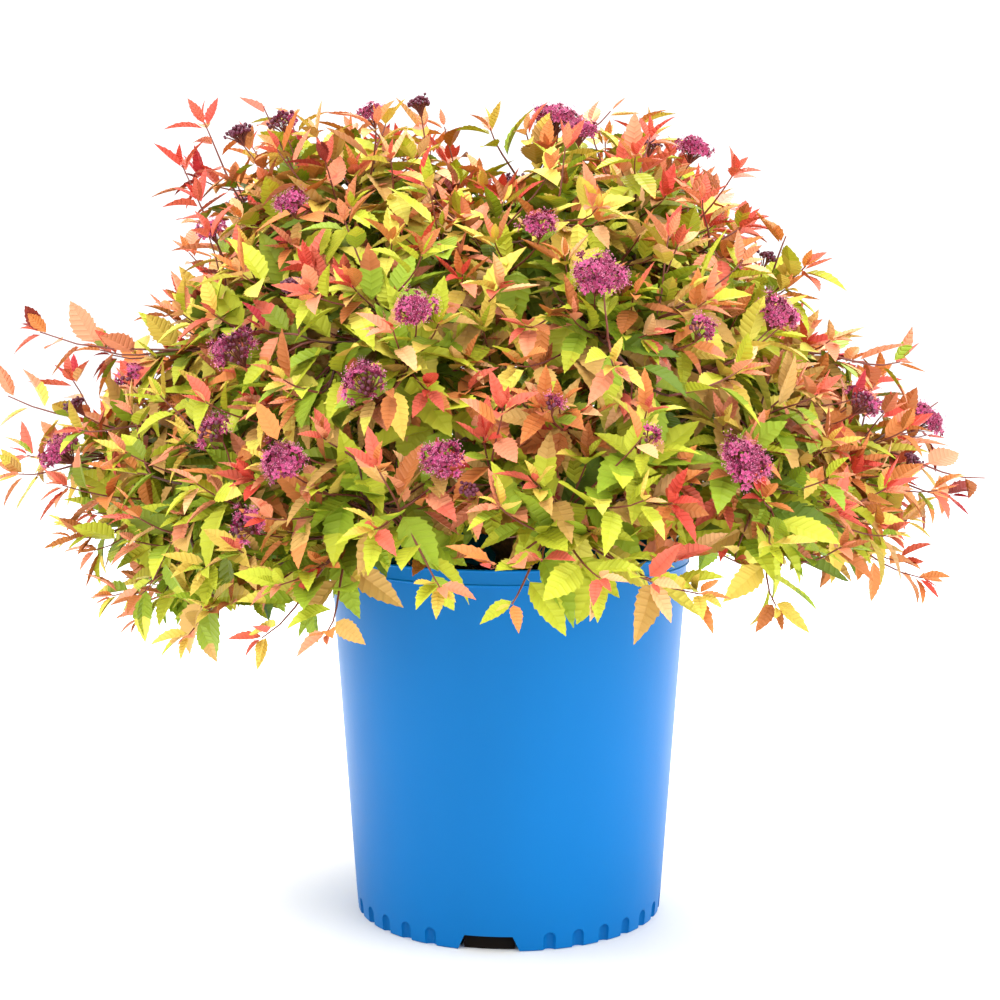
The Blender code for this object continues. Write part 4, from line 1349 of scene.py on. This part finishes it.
def points_mesh(name, places, kinds, turns, sizes):
    """Points that each carry the shape, turn and size to be put there."""
    mesh = bpy.data.meshes.new(name)
    mesh.from_pydata(places, [], [])
    mesh.attributes.new("kind", "INT", "POINT").data.foreach_set("value", kinds)
    flat = [value for turn in turns for value in turn]
    mesh.attributes.new("turn", "QUATERNION", "POINT").data.foreach_set("value", flat)
    mesh.attributes.new("size", "FLOAT", "POINT").data.foreach_set("value", sizes)
    return mesh


def curves_of(name, limbs):
    """One curve object's data with a run of points for each limb, thinning along it."""
    curve = bpy.data.curves.new(name, "CURVE")
    curve.dimensions = "3D"
    for limb in limbs:
        spline = curve.splines.new("POLY")
        spline.points.add(len(limb.points) - 1)
        for k, point in enumerate(limb.points):
            spline.points[k].co = (*point, 1.0)
            spline.points[k].radius = limb.first + (limb.last - limb.first) * k / (len(limb.points) - 1)
    return curve


def deliver(piece, nodes=()):
    """Hands a finished piece to the frame: it rides on the root body."""
    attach(piece, "root")
    if nodes:
        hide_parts(*nodes)


def applied(thing):
    """Replaces an object's mesh by its evaluated one and drops its modifiers."""
    graph = bpy.context.evaluated_depsgraph_get()
    graph.update()
    mesh = bpy.data.meshes.new_from_object(thing.evaluated_get(graph), depsgraph=graph)
    thing.modifiers.clear()
    thing.data = mesh
    mesh.transform(thing.matrix_world)
    thing.matrix_world = Matrix.Identity(4)
    return thing


def turned(name, profile, steps):
    """A solid of revolution about Z from (radius, height) points that run down its outer side."""
    bm = bmesh.new()
    ring = [bm.verts.new((radius, 0.0, height)) for radius, height in profile]
    for upper, lower in zip(ring, ring[1:]):
        bm.edges.new((upper, lower))
    made = new_object(name, new_mesh(name, bm))
    screw = made.modifiers.new("turn", "SCREW")
    screw.steps = steps
    screw.render_steps = steps
    screw.use_merge_vertices = True
    screw.merge_threshold = 0.00005
    screw.use_smooth_shade = True
    return made


def arc(centre, radius, first, last, steps):
    """Profile points along an arc, angles in degrees."""
    spots = []
    for k in range(steps + 1):
        turn = math.radians(first + (last - first) * k / steps)
        spots.append((centre[0] + radius * math.cos(turn), centre[1] + radius * math.sin(turn)))
    return spots


class SPIREA_OT_pot(bpy.types.Operator):
    """Turn the pot, bead its rim, and cut its flutes and drain notches"""

    bl_idname = "spirea.pot"
    bl_label = "Pot"

    def wall_radius(self, pot, height):
        rim_low = POT_HEIGHT - pot.rim_band
        return pot.foot_radius + (pot.top_radius - pot.foot_radius) * height / rim_low

    def profile(self, pot):
        """Section from the middle of the inner floor over the rim to the middle of the underside."""
        rim_low = POT_HEIGHT - pot.rim_band
        inside = [(0.0, FLOOR_TOP), (self.wall_radius(pot, FLOOR_TOP) - 2 * pot.wall - 0.003, FLOOR_TOP)]
        for height in (0.0095, FOOT_WALL_HEIGHT, FOOT_WALL_HEIGHT * 3, rim_low):
            above = max(0.0, height - FOOT_WALL_HEIGHT)
            thick = pot.wall + FOOT_WALL * math.exp(-above / FOOT_WALL_HEIGHT)
            inside.append((self.wall_radius(pot, height) - thick, height))
        band = RIM_RADIUS - pot.bead_depth
        lip = band - pot.wall
        inside += [(lip, rim_low + pot.bead), (lip, POT_HEIGHT - pot.bead / 2)]
        inside += arc((lip + LIP_EDGE, POT_HEIGHT - LIP_EDGE), LIP_EDGE, 180.0, 90.0, 3)
        half = pot.bead / 2
        rim = arc((RIM_RADIUS - half, POT_HEIGHT - half), half, 90.0, -60.0, 8)
        rim += [(band, POT_HEIGHT - pot.bead * 1.25), (band, rim_low + pot.bead * 1.35)]
        rim += arc((RIM_RADIUS - half, rim_low + half), half, 60.0, -80.0, 8)
        rim += [(self.wall_radius(pot, rim_low), rim_low)]
        wall = [(self.wall_radius(pot, height), height) for height in (rim_low - 0.001, 0.12, 0.013)]
        wall += arc((pot.foot_radius - FOOT_EDGE, FOOT_EDGE), FOOT_EDGE, 8.0, -90.0, 5)
        inner = pot.foot_radius - FOOT_RING
        under = [(inner, 0.0), (inner - RECESS / 2, RECESS)]
        under += [(HUB_RADIUS + RECESS / 2, RECESS), (HUB_RADIUS, 0.0), (0.0, 0.0)]
        return inside + rim + wall + under

    def flute(self, pot, azimuth):
        """A round-ended rod that cuts one flute, leaning with the wall."""
        radius = pot.flute_width / 2
        top = pot.flute_height - radius
        profile = arc((0.0, top), radius, 90.0, 0.0, 5)
        profile[0] = (0.0, top + radius)
        profile += [(radius, -CUT_BELOW), (0.0, -CUT_BELOW)]
        rod = turned("flute", profile, 20)
        slope = math.atan2(pot.top_radius - pot.foot_radius, POT_HEIGHT - pot.rim_band)
        offset = pot.foot_radius + radius - pot.flute_depth
        spin = Matrix.Rotation(math.radians(azimuth), 4, "Z")
        rod.matrix_world = spin @ Matrix.Translation((offset, 0.0, 0.0)) @ Matrix.Rotation(slope, 4, "Y")
        return rod

    def notch(self, pot, azimuth):
        """A block, narrower at its top, that cuts one drain notch."""
        bm = bmesh.new()
        bmesh.ops.create_cube(bm, size=1.0)
        low = pot.foot_radius * math.tan(NOTCH_HALF_LOW)
        high = pot.foot_radius * math.tan(NOTCH_HALF_HIGH)
        for vert in bm.verts:
            height = pot.notch_height if vert.co.z > 0 else -CUT_BELOW
            half = low - (low - high) * height / pot.notch_height
            depth = pot.foot_radius + (NOTCH_DEPTH / 2 if vert.co.x > 0 else -NOTCH_DEPTH)
            vert.co = Vector((depth, math.copysign(half, vert.co.y), height))
        block = new_object("notch", new_mesh("notch", bm))
        block.matrix_world = Matrix.Rotation(math.radians(azimuth), 4, "Z")
        return block

    def drain_openings(self, pot):
        """Dark curved panels of painted shade stand behind each notch, so that the notch reads dark inside.
        """
        bm = bmesh.new()
        for k in range(NOTCHES):
            bars = []
            for step in range(-SHADE_PANEL_BARS, SHADE_PANEL_BARS + 1):
                azimuth = FRONT_NOTCH + k * 360.0 / NOTCHES + step * SHADE_PANEL_STEP
                way = unit(azimuth, 0.0)
                inner, outer = (way * (pot.foot_radius - depth) for depth in SHADE_PANEL_DEPTHS)
                low, high = UP * 0.0004, UP * (pot.notch_height - 0.0003)
                corners = (inner + low, outer + low, outer + high, inner + high)
                bars.append([bm.verts.new(corner) for corner in corners])
            for first, second in zip(bars, bars[1:]):
                for j in range(4):
                    bm.faces.new((first[j], first[j - 1], second[j - 1], second[j]))
            bm.faces.new(bars[0])
            bm.faces.new(bars[-1][::-1])
        bmesh.ops.recalc_face_normals(bm, faces=bm.faces)
        mesh = new_mesh("drain_openings", bm)
        # Near-black painted shade for the inside of the notches
        mesh.materials.append(finish("wet_mix", srgb(20, 15, 13), 0.9, Specular_IOR_Level=0.1))
        deliver(new_object("drain_openings", mesh))

    def execute(self, context):
        pot = context.scene.spirea_pot
        shell = turned("pot_shell", self.profile(pot), pot.steps)
        cutters = bpy.data.collections.new("cutters")
        context.scene.collection.children.link(cutters)
        tools = []
        for k in range(NOTCHES):
            middle = FRONT_NOTCH + k * 360.0 / NOTCHES
            tools.append(self.notch(pot, middle))
            first = middle + (360.0 / NOTCHES - FLUTE_PITCH * (FLUTES_PER_ROW - 1)) / 2
            tools += [self.flute(pot, first + row * FLUTE_PITCH) for row in range(FLUTES_PER_ROW)]
        for tool in tools:
            cutters.objects.link(tool)
        cut = shell.modifiers.new("cuts", "BOOLEAN")
        cut.operand_type = "COLLECTION"
        cut.collection = cutters
        cut.solver = "EXACT"
        applied(shell)
        for tool in tools:
            bpy.data.objects.remove(tool, do_unlink=True)
        bpy.data.collections.remove(cutters)
        shell.data.set_sharp_from_angle(angle=math.radians(30.0))
        # Panels of painted shade make the notches read dark inside
        self.drain_openings(pot)
        shell.data.materials.clear()
        shell.data.materials.append(pot_finish(tuple(pot.colour)))
        deliver(shell, ("pot",))
        return {"FINISHED"}


class SPIREA_OT_mix(bpy.types.Operator):
    """Finish the potting mix and strew bark chips over it"""

    bl_idname = "spirea.mix"
    bl_label = "Potting mix"

    edge_room = 0.005
    sink = 0.0006
    chip_shapes = 4
    chips_per_square_metre = 42000.0
    chip_lengths = (0.003, 0.009)

    def execute(self, context):
        surface = mix_finish()
        node = frame["nodes"]["potting_mix"]
        node.data.materials.clear()
        node.data.materials.append(surface)
        bm = bmesh.new()
        bmesh.ops.create_circle(bm, cap_ends=True, segments=48, radius=MIX_HIGH[0] - self.edge_room)
        bmesh.ops.translate(bm, verts=bm.verts, vec=(0.0, 0.0, MIX_TOP - self.sink))
        disc = new_mesh("mix_top", bm)
        chips = shape_collection("chips", [chip_mesh(f"chip_{k}", k) for k in range(self.chip_shapes)])
        smallest, largest = self.chip_lengths
        tree = strew_tree()
        made = grow_by_tree(
            "bark_chips", disc, tree, Shapes=chips, Density=self.chips_per_square_metre,
            Smallest=smallest, Largest=largest, Seed=5, Material=surface,
        )
        drop_collection(chips)
        bpy.data.node_groups.remove(tree)
        deliver(made)
        return {"FINISHED"}


class SPIREA_OT_limbs(bpy.types.Operator):
    """Build stem and boughs with the relief of their bark"""

    bl_idname = "spirea.limbs"
    bl_label = "Stem and boughs"

    # The tubes and their bark: faces round them, metres between rings, and the noise that shapes the relief
    sides = 10
    spacing = 0.0035
    ridges = 2.2
    flakes = 90.0
    relief = 0.22
    stem_rings = 18
    stem_waist = 0.0085
    root_flare = 0.0075
    flare_height = 0.006
    flare_fall = 1.6
    fork_below = 0.010
    fork_overlap = 0.6
    least_radius = 0.0008
    noise_step = 3.7

    def tube(self, bm, points, radius_at, seed):
        """A closed tube along the points, its rings pushed in and out by noise that runs along it."""
        rings = []
        side = (points[1] - points[0]).orthogonal().normalized()
        travelled = 0.0
        for k, point in enumerate(points):
            ahead = points[min(k + 1, len(points) - 1)] - points[max(k - 1, 0)]
            way = ahead.normalized()
            side = (side - way * side.dot(way)).normalized()
            up = way.cross(side)
            if k:
                travelled += (point - points[k - 1]).length
            ring = []
            for j in range(self.sides):
                turn = j * math.tau / self.sides
                spoke = side * math.cos(turn) + up * math.sin(turn)
                across = math.cos(turn) * self.ridges
                over = math.sin(turn) * self.ridges + seed
                rough = noise.noise(Vector((across, over, travelled * self.flakes)))
                radius = radius_at(k / (len(points) - 1))
                ring.append(bm.verts.new(point + spoke * radius * (1.0 + self.relief * rough)))
            rings.append(ring)
        for lower, upper in zip(rings, rings[1:]):
            for j in range(self.sides):
                following = (j + 1) % self.sides
                bm.faces.new((lower[j], lower[following], upper[following], upper[j]))
        bm.faces.new(rings[0][::-1])
        bm.faces.new(rings[-1])

    def finer(self, points):
        """The path again with steps of the bark's spacing."""
        steps = max(4, round(path_length(points) / self.spacing))
        return [along(points, k / steps)[0] for k in range(steps + 1)]

    def stem_radius(self, share):
        """Root flare, waist, and the rounded fork."""
        foot = STEM_LOW[2]
        height = foot + (STEM_HIGH[2] - foot) * share
        if height < FORK.z - self.fork_below:
            fall = math.exp(-self.flare_fall * (height - foot) / self.flare_height)
            return self.stem_waist + self.root_flare * fall
        off = min(1.0, abs(height - FORK.z) / FORK_RADIUS)
        return max(self.least_radius, FORK_RADIUS * math.sqrt(1.0 - off * off))

    @staticmethod
    def limb_radius(limb, share):
        return limb.first + (limb.last - limb.first) * share

    def execute(self, context):
        shrub = grown(context.scene.spirea_plant)
        bm = bmesh.new()
        foot = Vector((0.0, 0.0, STEM_LOW[2]))
        head = Vector((0.0, 0.0, STEM_HIGH[2] - 0.0002))
        rings = self.stem_rings
        self.tube(bm, [foot.lerp(head, k / rings) for k in range(rings + 1)], self.stem_radius, 0.0)
        for k, limb in enumerate(shrub.boughs + shrub.stems):
            points = limb.points
            if k < len(shrub.boughs):
                points = [FORK.lerp(points[0], self.fork_overlap), *points]
            radius_at = functools.partial(self.limb_radius, limb)
            self.tube(bm, self.finer(points), radius_at, k * self.noise_step)
        for face in bm.faces:
            face.smooth = True
        mesh = new_mesh("stem_and_boughs", bm)
        mesh.materials.append(bark_finish(tuple(context.scene.spirea_plant.bark)))
        deliver(new_object("stem_and_boughs", mesh), ("stem", *BOUGH_NODES))
        return {"FINISHED"}


class SPIREA_OT_twigs(bpy.types.Operator):
    """Sweep the woody twigs and the young shoots"""

    bl_idname = "spirea.twigs"
    bl_label = "Twigs and shoots"

    def execute(self, context):
        plant = context.scene.spirea_plant
        shrub = grown(plant)
        tree = sweep_tree()
        for name, limbs, sides, colour in (
            ("twigs", shrub.twigs, 6, plant.twig),
            ("shoots", shrub.shoots, 5, plant.shoot),
        ):
            material = finish(f"{name}_rind", tuple(colour), 0.55)
            made = grow_by_tree(name, curves_of(name, limbs), tree, Sides=sides, Material=material)
            deliver(made, MASS_NODES if name == "twigs" else ())
        bpy.data.node_groups.remove(tree)
        return {"FINISHED"}


class SPIREA_OT_leaves(bpy.types.Operator):
    """Put the leaves on their shoots, one piece for each tint"""

    bl_idname = "spirea.leaves"
    bl_label = "Leaves"

    def execute(self, context):
        shrub = grown(context.scene.spirea_plant)
        tints = context.scene.spirea_tints
        blades = []
        for part in ("a_whole", "b_foot", "c_tip"):
            blades += [s.mesh(f"leaf_{part}_{k}", part[2:]) for k, s in enumerate(LEAF_SHAPES)]
        shapes = shape_collection("leaf_shapes", blades)
        tree = scatter_tree()
        for slot, names in TINT_SLOTS.items():
            for tint in names:
                chosen = []
                for leaf in shrub.leaves:
                    if tint == leaf.tint == leaf.tip_tint:
                        chosen.append((leaf, leaf.kind))
                    elif tint == leaf.tint:
                        chosen.append((leaf, leaf.kind + len(LEAF_SHAPES)))
                    elif tint == leaf.tip_tint:
                        chosen.append((leaf, leaf.kind + 2 * len(LEAF_SHAPES)))
                mesh = points_mesh(
                    f"leaves_{tint}", [leaf.root for leaf, _ in chosen], [kind for _, kind in chosen],
                    [leaf.turn for leaf, _ in chosen], [leaf.length for leaf, _ in chosen],
                )
                material = leaf_finish(f"leaf_{tint}", tuple(getattr(tints, tint)))
                made = grow_by_tree(f"leaves_{tint}", mesh, tree, Shapes=shapes, Material=material)
                deliver(made)
        drop_collection(shapes)
        bpy.data.node_groups.remove(tree)
        return {"FINISHED"}


class SPIREA_OT_flowers(bpy.types.Operator):
    """Build the flower heads: florets, their stamens, buds and stalks"""

    bl_idname = "spirea.flowers"
    bl_label = "Flower heads"

    # The dome's reach down from its top in degrees, and a cluster's width in metres
    dome = 82.0
    cluster = 0.0072
    # Shares of the dome's radius: a cluster swells above the valleys round it, the whole is a little flat
    valley = 0.72
    cluster_rise = 0.38
    unevenness = 0.24
    flatness = 0.78
    # How wide clusters fall apart, how florets lean out of theirs, and how closely they stand
    cluster_spread = 0.68
    cluster_lean = 1.5
    least_florets = 9
    cover = 0.8
    floret_spacing = 0.74
    bud_spacing = 1.15
    jitter = 0.2
    # Heads differ by their place: how each is turned and swollen, and where a half-open one has opened
    turn_per_metre = 700.0
    patches_per_metre = 90.0
    ripples = 2.4
    opened = -0.12
    # Sizes of florets and buds, and how their stalks run
    floret_sizes = (0.80, 1.20)
    bud_sizes = (0.8, 1.35)
    centre_bud = 0.75
    centre_rise = 0.0002
    stalk_radii = (0.00034, 0.00022)
    stalk_bend = 0.0012
    stalk_bend_at = 0.55
    stalk_short = 0.0004
    fuller_of_five = 3

    def head_plan(self, head, plant, rng):
        """Where the florets and buds of one head stand on its dome, and which way each faces."""
        turn = UP.rotation_difference(head.way).to_matrix()
        radius = head.width / 2
        is_bud = head.kind == "bud"
        pitch = plant.bud * self.bud_spacing if is_bud else plant.floret * self.floret_spacing
        low = math.cos(math.radians(self.dome))
        room = math.tau * (1.0 - low) * (radius / pitch) ** 2
        count = max(self.least_florets, round(room * self.cover))
        number = max(3, round(head.width / self.cluster))
        clusters = spread_ways(number, low, head.centre.x * self.turn_per_metre)
        spread = math.sqrt(2.0 * (1.0 - low) / len(clusters)) * self.cluster_spread
        plan = []
        for lean in spread_ways(count, low):
            nearest = max(clusters, key=lean.dot)
            away = min(1.0, lean.angle(nearest, 0.0) / spread)
            swell = radius * (self.valley + self.cluster_rise * math.cos(away * math.pi / 2))
            patch = head.centre * self.patches_per_metre + lean * self.ripples
            swell *= 1.0 + self.unevenness * noise.noise(patch)
            spot = Vector((lean.x * swell, lean.y * swell, (lean.z - low) * swell * self.flatness))
            spot += lean * rng.uniform(-self.jitter, self.jitter) * pitch
            facing = (lean + (lean - nearest) * self.cluster_lean).normalized()
            has_opened = noise.noise(spot * self.patches_per_metre) > self.opened
            is_open = head.kind == "open" or (head.kind == "half" and has_opened)
            plan.append((head.centre + turn @ spot, turn @ facing, is_open))
        return plan

    def execute(self, context):
        plant = context.scene.spirea_plant
        tints = context.scene.spirea_tints
        shrub = grown(plant)
        rng = random.Random(plant.seed)
        florets = []
        buds = []
        stalks = []
        for head in shrub.heads:
            for spot, way, is_open in self.head_plan(head, plant, rng):
                turn = UP.rotation_difference(way) @ Quaternion(UP, rng.uniform(0.0, math.tau))
                if is_open:
                    florets.append((spot, turn, plant.floret * rng.uniform(*self.floret_sizes)))
                    buds.append((spot + way * self.centre_rise, turn, plant.bud * self.centre_bud))
                else:
                    buds.append((spot, turn, plant.bud * rng.uniform(*self.bud_sizes)))
                foot = head.stalk_foot
                bend = head.way * self.stalk_bend / 2
                middle = foot.lerp(spot, self.stalk_bend_at) - way * self.stalk_bend + bend
                stalks.append(Limb([foot, middle, spot - way * self.stalk_short], *self.stalk_radii))
        fuller = [floret for k, floret in enumerate(florets) if k % 5 < self.fuller_of_five]
        paler = [floret for k, floret in enumerate(florets) if k % 5 >= self.fuller_of_five]
        for name, spots, shape, tint, roughness in (
            ("petal", fuller, petals_mesh, tints.petal, 0.6),
            ("pale_petal", paler, petals_mesh, tints.lilac, 0.6),
            ("stamen", florets, stamens_mesh, tints.stamen, 0.7),
            ("bud", buds, bead_mesh, tints.bud, 0.5),
        ):
            self.scatter(f"flower_{name}s", spots, shape, finish(name, tuple(tint), roughness))
        tree = sweep_tree()
        surface = finish("stalk_rind", tuple(plant.shoot), 0.6)
        made = grow_by_tree("flower_stalks", curves_of("stalks", stalks), tree, Sides=3, Material=surface)
        bpy.data.node_groups.remove(tree)
        deliver(made)
        return {"FINISHED"}

    def scatter(self, name, spots, shape, material):
        shapes = shape_collection("flower_shapes", [shape("flower_shape")])
        tree = scatter_tree()
        places, turns, sizes = zip(*spots)
        mesh = points_mesh(name, places, [0] * len(spots), turns, sizes)
        made = grow_by_tree(name, mesh, tree, Shapes=shapes, Material=material)
        drop_collection(shapes)
        bpy.data.node_groups.remove(tree)
        deliver(made)


class SPIREA_OT_stage(bpy.types.Operator):
    """Set the floor, the studio light and the camera"""

    bl_idname = "spirea.stage"
    bl_label = "Stage"

    def light(self, name, place, width, power):
        data = bpy.data.lights.new(name, "AREA")
        data.shape = "DISK"
        data.size = width
        data.energy = power
        lamp = new_object(name, data)
        lamp.location = place
        lamp.rotation_euler = (Vector(LIGHTS_AIM) - Vector(place)).to_track_quat("-Z", "Y").to_euler()

    def execute(self, context):
        scene = context.scene
        bpy.ops.mesh.primitive_plane_add(size=FLOOR_SIZE, location=(0.0, 0.0, 0.0))
        floor = context.object
        floor.name = "floor"
        floor.data.materials.append(finish("pale_floor", (FLOOR_WHITE,) * 3, 0.8))
        world = bpy.data.worlds.new("studio")
        world.use_nodes = True
        air = world.node_tree.nodes["Background"]
        air.inputs["Color"].default_value = (1.0, 1.0, 1.0, 1.0)
        air.inputs["Strength"].default_value = AIR_LIGHT
        scene.world = world
        for name, place, width, power in LIGHTS:
            self.light(name, place, width, power)
        data = bpy.data.cameras.new("photo_view")
        data.sensor_width = SENSOR_WIDTH
        data.lens = SENSOR_WIDTH * Lens.focal / PHOTO_SIZE
        camera = new_object("photo_view", data)
        camera.location = Lens.place
        camera.rotation_euler = (math.radians(90.0) - Lens.pitch, 0.0, 0.0)
        scene.camera = camera
        scene.view_settings.view_transform = "Standard"
        return {"FINISHED"}


OPERATORS = (
    SPIREA_OT_pot,
    SPIREA_OT_mix,
    SPIREA_OT_limbs,
    SPIREA_OT_twigs,
    SPIREA_OT_leaves,
    SPIREA_OT_flowers,
    SPIREA_OT_stage,
)


class SPIREA_PT_panel(bpy.types.Panel):
    """The steps that dress the shrub, and the sizes and colours they use"""

    bl_label = "Spirea in a Pot"
    bl_idname = "SPIREA_PT_panel"
    bl_space_type = "VIEW_3D"
    bl_region_type = "UI"
    bl_category = "Spirea"

    def draw(self, context):
        for operator in OPERATORS:
            self.layout.operator(operator.bl_idname)
        for label, group in SETTINGS.items():
            box = self.layout.box()
            values = getattr(context.scene, label)
            for name in group.__annotations__:
                box.prop(values, name)


SETTINGS = {"spirea_pot": PotSettings, "spirea_plant": PlantSettings, "spirea_tints": TintSettings}
CLASSES = (*SETTINGS.values(), *OPERATORS, SPIREA_PT_panel)


def register():
    for cls in CLASSES:
        bpy.utils.register_class(cls)
    for label, group in SETTINGS.items():
        setattr(bpy.types.Scene, label, PointerProperty(type=group))


def unregister():
    for label in SETTINGS:
        delattr(bpy.types.Scene, label)
    for cls in reversed(CLASSES):
        bpy.utils.unregister_class(cls)


def main():
    register()
    bpy.ops.spirea.pot()
    bpy.ops.spirea.mix()
    bpy.ops.spirea.limbs()
    bpy.ops.spirea.twigs()
    bpy.ops.spirea.leaves()
    bpy.ops.spirea.flowers()
    bpy.ops.spirea.stage()


if __name__ == "__main__":
    main()
